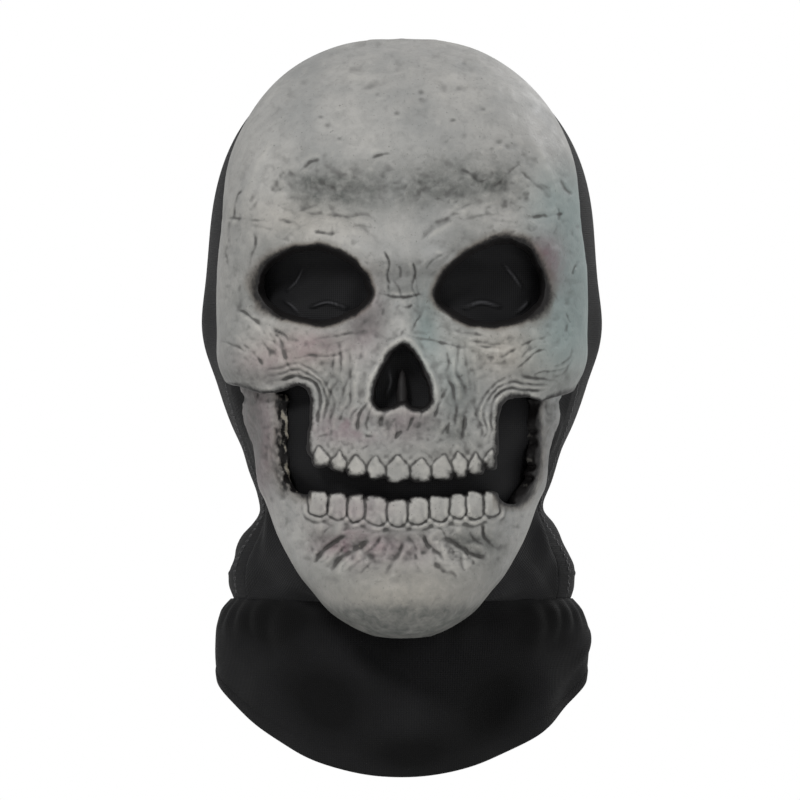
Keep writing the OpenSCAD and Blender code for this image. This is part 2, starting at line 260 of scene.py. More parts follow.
JAW_EDGE = curve_through([
    (-100, -21), (-63, -21), (-58, -27), (-55.5, -36), (-55.5, -58), (-54, -71), (-50, -76), (-43, -77.5),
    (-20, -79), (1, -80.8), (20, -79), (40, -77.5), (45.5, -81.5), (52, -82), (58, -75), (60.5, -62),
    (60.5, -42), (63, -27), (67, -21), (100, -21)])
# Free edges of the two rows of teeth, and the gums above and below them
UPPER_EDGE = table((-40, -65), (-30, -68.2), (-15, -71.2), (2, -73), (18, -71.8), (32, -69.6), (42, -66.5))
UPPER_GUM = table((-40, -56.5), (-25, -59.5), (0, -61.2), (25, -60), (42, -57))
LOWER_EDGE = table((-46, -75), (-25, -77), (0, -79.4), (25, -77.2), (46, -75.6))
LOWER_GUM = table((-46, -86), (-20, -89.5), (0, -91.6), (22, -89.6), (46, -87))
UPPER_WIDTHS = (8.4, 7.6, 8.2, 8.9, 10.6, 9.8, 9.2, 6.8, 7.2, 6.2)
LOWER_WIDTHS = (8.6, 9.0, 7.4, 9.9, 9.4, 9.6, 9.0, 7.0, 7.8, 7.2)


def tooth_spans(widths, middle):
    edges = np.concatenate([[0], np.cumsum(widths)])
    edges += middle - edges[-1] / 2
    return list(zip(edges[:-1], edges[1:]))


def teeth(relief, widths, middle, edge, gum, height, square, ring, seed):
    """Touching teeth on the relief. Returns the distance to the nearest tooth, negative inside one."""
    rng = np.random.default_rng(seed)
    nearest = np.full(GX.shape, 6.0)
    for a, b in tooth_spans(widths, middle):
        c, half = (a + b) / 2, (b - a) / 2 - 0.08
        root = gum(c) + rng.uniform(-1.0, 0.9)
        end = edge(c) + rng.uniform(-0.5, 0.5)
        back = math.copysign(1.0, root - end)
        neck = square * rng.uniform(0.85, 1.15)
        slant, tip = rng.uniform(-0.8, 0.8), rng.uniform(-0.35, 0.35)
        waist, shoulder = root - back * (6.6 - 2.8 * square), root - back * (3.0 - 1.8 * square)
        outline = curve_through([
            (c - half * 0.72, end + back * (0.5 + tip)), (c + slant * 0.4, end),
            (c + half * 0.72, end + back * (0.5 - tip)), (c + half * 0.97, end + back * 1.9),
            (c + half, waist), (c + half * neck + slant * 0.3, shoulder), (c + slant, root + back * 0.3),
            (c - half * neck + slant * 0.3, shoulder), (c - half, waist),
            (c - half * 0.97, end + back * 1.9)], closed=True, per_span=4)
        distance = outline_distance(outline, 6.0)
        inside = np.clip(-distance / 2.6, 0, 1)
        tall = height * rng.uniform(0.6, 1.1)
        lean = np.clip((GX - c) / half, -1, 1) * rng.uniform(-0.25, 0.25)
        worn = 1 + lean - 0.35 * ease((3.5 - back * (GZ - end)) / 3.5)
        relief.height += tall * worn * np.sqrt(np.clip(1 - (1 - inside) ** 2, 0, 1))
        at_root = ease((back * (GZ - (root - back * 6))) / 5)
        relief.height += ring * bump(distance - 1.5, 0.9) * at_root * BROKEN
        relief.height -= ring * 0.7 * bump(distance - 3.1, 0.8) * at_root * BROKEN
        # painted shade in the cut round each tooth
        line = 0.5 * bump(distance - 0.05, 0.4) * (0.55 + 0.45 * at_root) * np.clip(BROKEN + 0.15, 0, 1)
        relief.crease_shade = np.maximum(relief.crease_shade, line)
        relief.height -= 0.5 * bump(distance - 0.05, 0.45)
        # the root under the gum, as a soft ridge that fades away from the tooth
        away = back * (GZ - root)
        beside = GX - c - slant * away * 0.3
        ridge = 0.7 * rng.uniform(0.2, 1.2) * bump(beside, half * 0.6)
        relief.height += ridge * ease(away / 3) * ease((17 - away) / 14)
        nearest = np.minimum(nearest, distance)
    return nearest


def weathered(relief, where, depth, seed, cell=8.0):
    """Pitted old bone: a lumpy surface with worn hollows, and a few fine cracks between the lumps, with
    painted shade in the cracks, pits and low places.
    """
    cracks = np.clip(1 - 3.2 * np.abs(rough(cell, seed, 4, (1.35, 1.0))), 0, 1) ** 2
    cracks = cracks * np.clip(0.5 + 1.2 * noise(cell * 1.7, seed + 60), 0, 1)
    pits = np.clip(rough(cell * 0.75, seed + 20, 3) - 0.15, 0, 1)
    lumps = rough(cell * 0.45, seed + 40, 3)
    relief.height += where * depth * (0.42 * lumps - 0.45 * cracks - 1.0 * pits)
    # painted shade in the cracks, the pits and the low lumps
    pit_shade = 0.24 * cracks + 0.34 * pits + 0.12 * np.clip(-lumps, 0, 1)
    relief.crease_shade = np.maximum(relief.crease_shade, where * pit_shade)


def wrinkles(relief, count, seed, area, length, depth, width, angle, swirl, crease_shade=0.5):
    """Creases that follow one flow over an area, given by its middle and half sizes."""
    rng = np.random.default_rng(seed)
    flow = noise(13, seed + 500) + 0.35 * noise(5, seed + 501)
    x0, z0, rx, rz = area
    starts = []
    for _ in range(count * 3):
        r, a = math.sqrt(rng.uniform()), rng.uniform(0, 2 * math.pi)
        p = np.array([x0 + rx * r * math.cos(a), z0 + rz * r * math.sin(a)])
        size = length * rng.uniform(0.4, 1.4)
        strength, broad, dark = rng.uniform(0.35, 1.1), rng.uniform(0.7, 1.3), rng.uniform(0.3, 1)
        if len(starts) >= count or any(np.hypot(*(p - q)) < 0.16 * length + 1 for q in starts):
            continue
        starts.append(p)
        points = [p]
        for _ in range(4):
            turn = math.radians(angle + swirl * at_points(flow, *points[-1]))
            points.append(points[-1] + size / 4 * np.array([math.cos(turn), math.sin(turn)]))
        relief.crease(points, depth * strength, width * broad, crease_shade=crease_shade * dark)


def arcs(relief, x, z, radii, start, stop, depth, width, seed, crease_shade=0.9):
    """Creases that hug an opening, one inside the other."""
    rng = np.random.default_rng(seed)
    for radius in radii:
        a0, a1 = start + rng.uniform(-12, 12), stop + rng.uniform(-12, 12)
        points = []
        for t in np.linspace(0, 1, 6):
            a = math.radians(a0 + (a1 - a0) * t)
            r = radius * (1 + rng.normal(0, 0.05))
            points.append((x + r * math.cos(a), z + 0.85 * r * math.sin(a)))
        relief.crease(points, depth, width, lip=0.6, crease_shade=crease_shade * rng.uniform(0.5, 1))


eye_left = outline_distance(EYE_LEFT)
eye_right = outline_distance(EYE_RIGHT)
eyes = np.minimum(eye_left, eye_right)
nose = outline_distance(NOSE)


def above_line(line):
    """Distance below a line that runs from -X to +X: negative above it."""
    return outline_distance(np.vstack([line, [(100, 200), (-100, 200)]]))


def worn_height(relief):
    """The relief's height, with its deepest creases held to less than the wall."""
    return np.where(relief.height < 0, -1.5 * np.tanh(-relief.height / 1.5), relief.height)


def skull_relief():
    """The skull's large forms, its small relief, and how far each place is outside the casting."""
    form = 3.6 * bump(eyes - 6, 6) * ease((GZ - 18) / 14) * ease((78 - AX) / 14)
    form -= 1.6 * bump(GZ - 50, 7) * ease((58 - AX) / 14)
    form += 2.6 * blob(0, 31, 15, 8)
    form -= 4.0 * blob(0, 15, 11, 5.5)
    form += 5.0 * bump(GX, 8 - 0.06 * GZ) * ease((GZ + 18) / 10) * ease((24 - GZ) / 16)
    form -= 4.5 * both(15.5, 0, 6.5, 12, 12)
    form += 1.5 * bump(eyes - 4, 3.5) * ease((8 - GZ) / 8)
    form += 5.0 * both(50, -15, 19, 10, -8)
    form += 1.8 * bump(GZ + 18, 10) * ease((AX - 56) / 16)
    form -= 5.0 * both(28, -36, 9, 15, -8)
    form -= 1.0 * ease((-23 - GZ) / 9) * ease((AX - 42) / 8)
    form -= 3.5 * both(77, 40, 12, 24, -6)
    form += 2.6 * bump(GZ + 58, 14) * ease((44 - AX) / 12)
    form += 1.2 * both(36, 66, 20, 13)
    form += 0.5 * rough(40, 11, 2)
    relief = Relief()
    tooth = teeth(relief, UPPER_WIDTHS, 1.2, UPPER_EDGE, UPPER_GUM, 1.5, 0.5, 0.25, 21)
    relief.height += 1.3 * bump(nose - 2.2, 1.5)
    relief.height += 1.2 * blob(0, -42.5, 3.5, 3)
    # frown: a low arc over the root of the nose, and upright lines of unequal length above it
    relief.crease([(-11.5, 12.5), (-6, 10.4), (0, 9.6), (6, 10.2), (12, 12)], 1.0, 0.6, crease_shade=0.8, tail=0.25)
    for points, depth, width, crease_shade in (
            ([(-5, 14.5), (-6.4, 19.5), (-5.6, 25), (-7.6, 31)], 0.9, 0.55, 0.8),
            ([(4, 15), (5.4, 20), (4.6, 26)], 0.9, 0.5, 0.75),
            ([(-1.4, 17.5), (-0.6, 21), (-1.6, 24)], 0.5, 0.5, 0.45),
            ([(10.5, 21.5), (13.5, 26), (18.5, 29.5)], 0.7, 0.6, 0.5),
            ([(-3, 6.6), (1, 5.6), (5, 6.4)], 0.6, 0.5, 0.45)):
        relief.crease(points, depth, width, crease_shade=crease_shade)
    # folds of soft skin that curl over the cheek openings and run down beside them
    for grow, deep in ((0, 1.5), (2.8, 1.2), (5.8, 0.9)):
        left = [(-61 - grow, -28.5 + grow * 0.6), (-53, -27 + grow), (-45, -25.5 + grow),
                (-38.5 + grow * 0.5, -29 + grow * 0.5), (-36 + grow, -37), (-37.5 + grow * 0.9, -46),
                (-36 + grow * 0.6, -53)]
        right = [(67 + grow, -31 + grow * 0.6), (57, -32 + grow), (49, -30.5 + grow),
                 (42 - grow * 0.5, -34 + grow * 0.5), (39 - grow, -42), (40 - grow * 0.8, -49),
                 (38 - grow * 0.5, -55)]
        for points in (left, right):
            relief.crease(points, deep, 0.75, lip=0.8, crease_shade=0.7)
    arcs(relief, -39, 13, (34.5,), 215, 290, 0.6, 0.7, 50, crease_shade=0.4)
    arcs(relief, 40, 14, (35,), 250, 325, 0.6, 0.7, 51, crease_shade=0.4)
    arcs(relief, -39, 16, (36, 40), 35, 100, 0.5, 1.0, 52, crease_shade=0.25)
    arcs(relief, 40, 17, (36, 40), 80, 150, 0.5, 1.0, 53, crease_shade=0.25)
    rng = np.random.default_rng(33)
    for side in (-1, 1):
        for i in range(5):
            x = side * (17.5 + 3.2 * i + rng.normal(0, 0.7))
            wave = rng.normal(0, 1.0, 5)
            top, fall = -9 + rng.uniform(-6, 5), rng.uniform(6.5, 9.5)
            points = [(x + side * t * 1.3 + wave[t], top - fall * t) for t in range(5)]
            depth, width, crease_shade = (rng.uniform(*span) for span in ((0.4, 0.9), (0.5, 0.9), (0.1, 0.5)))
            relief.crease(points, depth, width, lip=0.9, crease_shade=crease_shade, tail=0.3)
    # count, seed, area, length, depth, width, angle, swirl, painted shade in the creases
    for row in (
            (16, 34, (0, -50, 36, 7), 13, 1.2, 0.65, 86, 45, 0.75),
            (12, 134, (0, -54, 38, 5), 6, 0.9, 0.5, 60, 90, 0.6),
            (13, 35, (-58, -17, 19, 9), 15, 0.9, 0.7, 150, 50, 0.5),
            (8, 36, (58, -21, 18, 8), 14, 0.8, 0.65, 30, 50, 0.45),
            (7, 37, (-36, -9, 24, 3.5), 17, 0.7, 0.65, 8, 22, 0.4),
            (7, 38, (38, -10, 24, 3.5), 17, 0.7, 0.65, 172, 22, 0.4),
            (9, 39, (0, 3, 13, 12), 9, 0.6, 0.5, 80, 60, 0.4),
            (9, 40, (-72, 25, 9, 34), 15, 0.7, 0.8, 75, 50, 0.3),
            (9, 41, (72, 28, 9, 36), 15, 0.7, 0.8, 105, 50, 0.3),
            (7, 42, (-35, 42, 27, 5), 18, 0.7, 0.9, 170, 25, 0.25),
            (7, 43, (37, 44, 27, 5), 18, 0.7, 0.9, 10, 25, 0.25)):
        wrinkles(relief, *row)
    for side in (-1, 1):
        relief.fold([(side * 68, 36), (side * 70, 52), (side * 64, 70), (side * 54, 84)], 0.9, 2.6)
    # eroded band over the forehead, and a few dents on the smooth crown
    band = bump(GZ - 58 - 6 * noise(24, 44), 15) * ease((68 - AX) / 18)
    weathered(relief, 0.6 * band, 1.2, 45, 8.0)
    relief.height += band * (0.9 * rough(17, 46, 2) + 0.38 * rough(3.4, 47, 3, (1.4, 1)))
    weathered(relief, 0.6 * bump(GZ + 50, 13) * ease((42 - AX) / 10), 1.0, 145, 6.0)
    calm = 1 - 0.7 * blob(60, -12, 18, 12)
    weathered(relief, 0.42 * bump(GZ + 16, 16) * ease((AX - 22) / 14) * calm, 1.0, 245, 6.5)
    weathered(relief, 0.35 * ease((AX - 58) / 14) * bump(GZ - 30, 40), 1.0, 345, 6.5)
    weathered(relief, 0.35 * ease((eyes - 1) / 3) * bump(eyes - 6, 9) * ease((70 - AX) / 12), 1.0, 445, 6.0)
    wrinkles(relief, 10, 47, (-4, 62, 54, 13), 12, 0.8, 0.55, 20, 90, crease_shade=0.35)
    rng = np.random.default_rng(48)
    for _ in range(16):
        x, z, size = rng.uniform(-48, 48), rng.uniform(76, 118), rng.uniform(0.8, 2.2)
        relief.height -= 0.5 * blob(x, z, size * 1.3, size)
        relief.height += 0.3 * blob(x, z - size * 1.6, size * 1.6, size * 0.6)
    relief.height += (0.3 + 0.12 * noise(30, 149)) * rough(6, 49, 3)
    relief.height += 0.3 * ease((20 - GZ) / 20) * ease((eyes - 3) / 4) * rough(2.8, 150, 2)
    region = np.minimum(above_line(SKULL_EDGE), np.where(AX < 46, tooth, 6.0))
    return form, relief, region


def jaw_relief():
    form = 2.4 * bump(GZ + 86, 11) * ease((50 - AX) / 12)
    form += 3.0 * blob(0, -124, 21, 12)
    form -= 1.6 * bump(GZ + 106, 7) * ease((42 - AX) / 15)
    form -= 1.8 * both(65, -54, 6, 22, 10)
    form += 0.8 * ease((AX - 66) / 8) * bump(GZ + 62, 18)
    form += 1.4 * bump(AX - 60 + 0.12 * (GZ + 40), 3.2) * ease((-34 - GZ) / 6) * ease((GZ + 92) / 20)
    form += 0.4 * rough(36, 12, 2)
    relief = Relief()
    tooth = teeth(relief, LOWER_WIDTHS, 0.8, LOWER_EDGE, LOWER_GUM, 1.4, 0.85, 0.8, 61)
    # points, depth, width, lip, painted shade in the crease
    for row in (
            ([(-24, -95.5), (-29, -98.5), (-34, -102.5), (-38.5, -108)], 1.7, 1.1, 0.9, 0.85),
            ([(-14, -98), (-19, -101.5), (-26, -106), (-33, -112)], 1.8, 1.2, 0.9, 0.8),
            ([(-9, -95.5), (-11, -99.5), (-14, -103.5), (-18, -107)], 1.2, 0.9, 0.7, 0.55),
            ([(1, -98), (-0.5, -103), (-4, -108), (-8, -114)], 1.4, 0.9, 0.7, 0.65),
            ([(9.5, -96), (12, -100), (16, -104), (19, -109)], 1.1, 0.9, 0.7, 0.5),
            ([(20, -97), (25, -101), (31, -104.5), (39, -107)], 1.5, 1.2, 0.8, 0.7),
            ([(14, -108), (19, -112), (25, -114.5)], 1.2, 1.2, 0.7, 0.5),
            ([(36, -91), (36.5, -96), (39, -100), (42, -103)], 1.3, 0.8, 0.7, 0.7)):
        relief.crease(*row)
    # count, seed, area, length, depth, width, angle, swirl, painted shade in the creases
    for row in (
            (13, 62, (-24, -104, 18, 11), 8, 0.9, 0.65, 58, 30, 0.4),
            (13, 64, (22, -104, 20, 11), 8, 0.9, 0.65, 126, 30, 0.4),
            (9, 65, (-64, -62, 9, 26), 16, 0.6, 0.8, 85, 30, 0.25),
            (9, 66, (66, -62, 8, 26), 16, 0.6, 0.8, 95, 30, 0.25),
            (6, 67, (0, -122, 36, 12), 9, 0.35, 0.8, 40, 80, 0.2)):
        wrinkles(relief, *row)
    weathered(relief, bump(GZ + 103, 8) * ease((48 - AX) / 11), 0.9, 68, 7.5)
    sides = 0.45 * ease((60 - GZ) / 30) * ease((AX - 42) / 10) * ease((GZ + 118) / 20)
    weathered(relief, sides, 1.0, 168, 6.5)
    relief.height += 0.2 * rough(6, 69, 3) + 0.3 * ease((GZ + 114) / 8) * rough(2.8, 170, 2)
    region = np.minimum(-above_line(JAW_EDGE), np.where(AX < 48, tooth, 6.0))
    return form, relief, region


# ---------------------------------------------------------------- the castings as solids

SIDE = table(
    (-142.5, 2), (-141, 13), (-135, 26), (-130, 33), (-122, 40), (-115, 46), (-105, 52), (-98, 55.5),
    (-85, 60.5), (-72, 65), (-58, 69.5), (-45, 74), (-32, 78), (-12, 82), (0, 83.5), (24, 84.5))
RIM = table(
    (-142.5, -68), (-130, -62), (-118, -56), (-104, -45), (-85, -31), (-60, -31), (-40, -34),
    (0, -35), (40, -34), (70, -28), (90, -20), (110, -10), (127, -2))
FORE = table(
    (-142.5, -76), (-139, -90), (-130, -98), (-120, -100), (-110, -97), (-100, -97), (-92, -100),
    (-80, -102), (-68, -104), (-42, -106), (-8, -105), (5, -101), (16, -100), (28, -104), (40, -102),
    (55, -98), (75, -88), (95, -70), (110, -49), (120, -29), (127, -3))
TEMPLE_Z, SKULL_TOP, CAST_ROUND, RING_ROUND = 24, 127, 2.3, 2.2
LATEX_T = 2.6
VOXEL = 0.6
CRUMB = 400    # loose bits with fewer points than this are dropped


def between(values, u, v):
    """A grid of values, read between its rows and columns."""
    u = np.clip(u, 0, values.shape[0] - 1.001)
    v = np.clip(v, 0, values.shape[1] - 1.001)
    i, j = u.astype(int), v.astype(int)
    fu, fv = u - i, v - j
    near_row = values[i, j] * (1 - fu) + values[i + 1, j] * fu
    far_row = values[i, j + 1] * (1 - fu) + values[i + 1, j + 1] * fu
    return near_row * (1 - fv) + far_row * fv


def at_points(values, x, z):
    """A map over the face, read at any places."""
    return between(values, (x - MAP_X[0]) / PITCH, (z - MAP_Z[0]) / PITCH)


def cast_section(z):
    """Half width, rim and depth of the castings at a height."""
    dome = np.maximum(1 - np.clip((z - TEMPLE_Z) / (SKULL_TOP - TEMPLE_Z), 0, 1) ** CAST_ROUND, 1e-6)
    wide = np.maximum(SIDE(z) * dome ** (1 / CAST_ROUND), 1.0)
    rim = RIM(z)
    return wide, rim, np.maximum(rim - FORE(z), 0.6)


class Voxels:
    """A block of voxels: its step, and the places of its layers along each axis."""

    def mesh(self, name, field, triangles):
        """The surface where the field is zero, as an object, with about that many triangles."""
        grid = openvdb.FloatGrid(2.0)
        grid.copyFromArray(np.clip(field, -2, 2).astype(np.float32))
        points, _, quads = grid.convertToPolygons(isovalue=0.0, adaptivity=0.0)
        corner = np.array([self.x[0], self.y[0], self.z[0]])
        made = new_mesh(name, (points * self.step + corner) * MM, quads)
        if len(quads) * 2 > triangles:
            thin = made.modifiers.new("thin", "DECIMATE")
            thin.ratio = triangles / (len(quads) * 2)
            apply_modifiers(made)
        edit_mesh(made, drop_crumbs)
        return made


class CastVoxels(Voxels):
    """Voxels round one casting, with their distance to the smooth face under the relief."""

    step = VOXEL

    def __init__(self, low, high):
        self.x, self.y, self.z = (np.arange(a, b, VOXEL, dtype=np.float32) for a, b in zip(low, high))
        wide, rim, deep = cast_section(self.z.astype(float))
        wide, deep = wide.astype(np.float32), deep.astype(np.float32)
        self.rim = rim.astype(np.float32)
        X, Y = self.x[:, None, None], self.y[None, :, None]
        across, back = np.abs(X) / wide, np.abs(self.rim - Y) / deep
        r = (across**RING_ROUND + back**RING_ROUND) ** (1 / RING_ROUND)
        self.steep = ease((wide[None, None, :] + 1 - np.abs(X)) / 9).astype(np.float32)
        gx, gy, gz = np.gradient(r, VOXEL)
        self.base = np.maximum((r - 1) / (np.sqrt(gx * gx + gy * gy + gz * gz) + 1e-4), self.z - SKULL_TOP)

    def map(self, values):
        """A map over the face, read at the voxels, for all depths at once."""
        return at_points(values, self.x[:, None], self.z[None, :]).astype(np.float32)[:, None, :]


def new_mesh(name, points, faces):
    points = np.asarray(points, np.float32)
    faces = np.asarray(faces, np.int32)
    sides = faces.shape[1]
    mesh = bpy.data.meshes.new(name)
    mesh.vertices.add(len(points))
    mesh.vertices.foreach_set("co", points.ravel())
    mesh.loops.add(faces.size)
    mesh.loops.foreach_set("vertex_index", faces.ravel())
    mesh.polygons.add(len(faces))
    mesh.polygons.foreach_set("loop_start", np.arange(0, faces.size, sides, dtype=np.int32))
    mesh.update(calc_edges=True)
    mesh.validate()
    made = bpy.data.objects.new(name, mesh)
    bpy.context.scene.collection.objects.link(made)
    smooth(made)
    return made


def smooth(piece):
    piece.data.polygons.foreach_set("use_smooth", [True] * len(piece.data.polygons))


def apply_modifiers(piece):
    """Leaves the piece with its final mesh and no modifiers."""
    graph = bpy.context.evaluated_depsgraph_get()
    final = bpy.data.meshes.new_from_object(piece.evaluated_get(graph))
    piece.modifiers.clear()
    old, piece.data = piece.data, final
    bpy.data.meshes.remove(old)
    smooth(piece)


def edit_mesh(piece, work):
    """Runs some work on a piece's mesh, with smooth shading after it."""
    bm = bmesh.new()
    bm.from_mesh(piece.data)
    work(bm)
    bm.to_mesh(piece.data)
    bm.free()
    smooth(piece)


def turn_outwards(bm):
    if bm.calc_volume(signed=True) < 0:
        bmesh.ops.reverse_faces(bm, faces=bm.faces)


def drop_crumbs(bm):
    """Drops loose crumbs from a closed mesh, and turns its faces outwards."""
    left = set(bm.verts)
    crumbs = []
    while left:
        group, queue = [], [left.pop()]
        while queue:
            v = queue.pop()
            group.append(v)
            for e in v.link_edges:
                o = e.other_vert(v)
                if o in left:
                    left.remove(o)
                    queue.append(o)
        if len(group) < CRUMB:
            crumbs += group
    bmesh.ops.delete(bm, geom=crumbs, context="VERTS")
    turn_outwards(bm)


def weld_sheet(bm):
    """Welds the points where a sheet closes on itself, and turns its faces outwards."""
    bmesh.ops.remove_doubles(bm, verts=bm.verts, dist=1e-6)
    bmesh.ops.dissolve_degenerate(bm, edges=bm.edges, dist=1e-7)
    turn_outwards(bm)


def cap_tubes(bm):
    bmesh.ops.holes_fill(bm, edges=[e for e in bm.edges if e.is_boundary], sides=0)
    bmesh.ops.recalc_face_normals(bm, faces=bm.faces)


def set_number(piece, name, values):
    layer = piece.data.attributes.get(name) or piece.data.attributes.new(name, "FLOAT", "POINT")
    layer.data.foreach_set("value", np.asarray(values, np.float32))


def places(piece):
    co = np.empty(len(piece.data.vertices) * 3, np.float32)
    piece.data.vertices.foreach_get("co", co)
    return co.reshape(-1, 3) / MM


def turned_in_wall(edge, outer, deep, slope, thick=1.8):
    """A wall that turns in from the edge of an opening. edge is positive in the casting, and the
    opening gets narrower with depth by slope."""
    inward = np.clip(-outer, 0, deep)
    away = edge + slope * inward
    wall = np.maximum(np.abs(away - thick / 2) - thick / 2, outer + 0.4)
    return np.maximum(wall, -(outer + deep))


def cast_wall(block, low, relief, region):
    """The casting's wall, cut off at its rim and at the edge of its region."""
    outer = low - block.map(worn_height(relief)) * block.steep
    solid = smooth_max(outer, -(low + LATEX_T), 0.5)
    solid = smooth_max(solid, block.y[None, :, None] - block.rim, 1.2)
    return smooth_max(solid, block.map(region), 1.2)


def skull_solid():
    form, relief, region = skull_relief()
    block = CastVoxels((-93, -116, -80), (93, 4, 131))
    low = block.base - block.map(form)
    solid = cast_wall(block, low, relief, region)
    e_left, e_right, e_nose = block.map(eye_left), block.map(eye_right), block.map(nose)
    for e in (e_left, e_right):
        solid = smooth_max(solid, -e, 2.4)
    solid = smooth_max(solid, -e_nose, 1.6)
    for e, slope in ((e_left, 0.22), (e_right, 0.22), (e_nose, 0.12)):
        solid = smooth_min(solid, turned_in_wall(e, low, 11.4, slope), 1.6)
    inner_edge = block.map(np.where((AX < 50) & (GZ > -61), -region, 30.0))
    solid = smooth_min(solid, turned_in_wall(inner_edge, low, 5.0, 0.1, 1.6), 1.0)
    front = low + (7 + 3.5 * ease((block.z + 38) / 24))[None, None, :]
    septum = smooth_max(np.abs(block.x[:, None, None]) - 2.9, front, 4.5)
    septum = np.maximum(np.maximum(septum, -(low + 10)), e_nose - 1.0)
    solid = smooth_min(solid, septum, 1.0)
    opening = np.minimum(np.minimum(eyes, nose), np.where(GZ < -28, np.maximum(-region, 0), 30.0))
    return block, solid, low, relief, region, opening


CHIN_Z = -142.2
# How far the jaw is tucked in behind the cheekbones, by height
JAW_TUCK = table(
    (-68, 0), (-58, 0.7), (-52, 1.3), (-46, 2.1), (-41, 3.1), (-36.5, 4.7), (-34, 5.3), (-20, 5.3))


def jaw_solid():
    form, relief, region = jaw_relief()
    block = CastVoxels((-90, -116, -150), (90, -22, -17))
    tuck = JAW_TUCK(GZ + 2.5 * ease((GX - 30) / 20))
    low = block.base + 0.4 - block.map(form - tuck)
    solid = np.maximum(cast_wall(block, low, relief, region), (CHIN_Z - block.z)[None, None, :])
    edge = block.map(np.where(GZ < -33, -region - 6 * ease((51 - AX) / 6), 30.0))
    ragged = 0.6 * np.sin(block.z * 0.8 + 1.5 * np.sin(block.z * 0.37))[None, None, :]
    solid = smooth_min(solid, turned_in_wall(edge + ragged, low, 5.2, 0.95, 2.2), 1.0)
    opening = np.where(GZ < -33, np.maximum(-region, 0), 30.0)
    return block, solid, low, relief, region, opening


def readable(block, values):
    """A field of the block, read at scattered points."""
    def read(points):
        spot = [np.clip(np.rint((points[:, i] - axis[0]) / VOXEL).astype(int), 0, len(axis) - 1)
                for i, axis in enumerate((block.x, block.y, block.z))]
        return values[spot[0], spot[1], spot[2]]
    return read


def blurred(values, reach):
    """Running mean of a map over about reach mm each way."""
    steps = max(1, int(reach / PITCH)) * 2 + 1
    for axis in (0, 1):
        wide = np.concatenate([np.repeat(np.take(values, [0], axis), steps, axis), values,
                               np.repeat(np.take(values, [-1], axis), steps, axis)], axis)
        total = np.cumsum(wide, axis)
        count = values.shape[axis]
        high = np.take(total, range(steps + steps // 2, steps + steps // 2 + count), axis)
        low = np.take(total, range(steps // 2, steps // 2 + count), axis)
        values = (high - low) / steps
    return values


# ---------------------------------------------------------------- paint on the latex


SPATTER = rough(3.2, 731, 3, (0.8, 1.3)) * 1.3 - 0.1


def paint(piece, block, low, relief, black, tints, opening, flecks):
    """Writes the paint, with painted shade in the creases and hollows and a painted highlight on the
    ridges, as numbers on the mesh, for the latex material to read. flecks is how much bare latex shows
    through the black on the turned-in walls, and the left side, where the key light falls, has twice as
    much: painted light."""
    at = places(piece)
    x, z = at[:, 0].astype(float), at[:, 2].astype(float)
    depth = -readable(block, low)(at)
    outside = ease((2.3 - depth) / 0.8)
    turned_in = ease((depth - 0.7) / 1.2) * ease((9 - at_points(opening, x, z)) / 1.5)
    # the left side, where the key light falls, shows more bare latex on its walls: painted light
    left = ease(-x / 20)
    bare = np.clip(at_points(SPATTER, x + 0.8 * depth, z) + 0.8 * left, 0, 1)
    turned_in = turned_in * (1.15 - flecks * (1 + left) * bare)
    steep = ease((cast_section(z)[0] + 1 - np.abs(x)) / 9) * outside
    # painted shade in the hollows of the relief, where the paint also collects, and a painted highlight on
    # its ridges
    cavity_shade = blurred(relief.height, 1.6) - relief.height + 0.6 * (blurred(relief.height, 5) - relief.height)
    # painted shade in the creases
    set_number(piece, "crease_shade", at_points(relief.crease_shade, x, z) * steep)
    set_number(piece, "cavity_shade", at_points(cavity_shade, x, z) * steep)
    set_number(piece, "black", np.maximum(at_points(black, x, z) * outside, turned_in))
    set_number(piece, "inside", (1 - outside) * np.clip(1 - turned_in, 0, 1))
    for name, tint in tints.items():
        set_number(piece, name, np.clip(at_points(tint, x, z), 0, 1) * outside)


def feather(distance, reach, seed):
    """Airbrushed edge: full at the opening, ragged and soft further out."""
    ragged = 1 + 0.35 * noise(7, seed) + 0.2 * noise(2.5, seed + 1)
    return ease(1 - np.clip(distance, 0, None) / (reach * ragged))


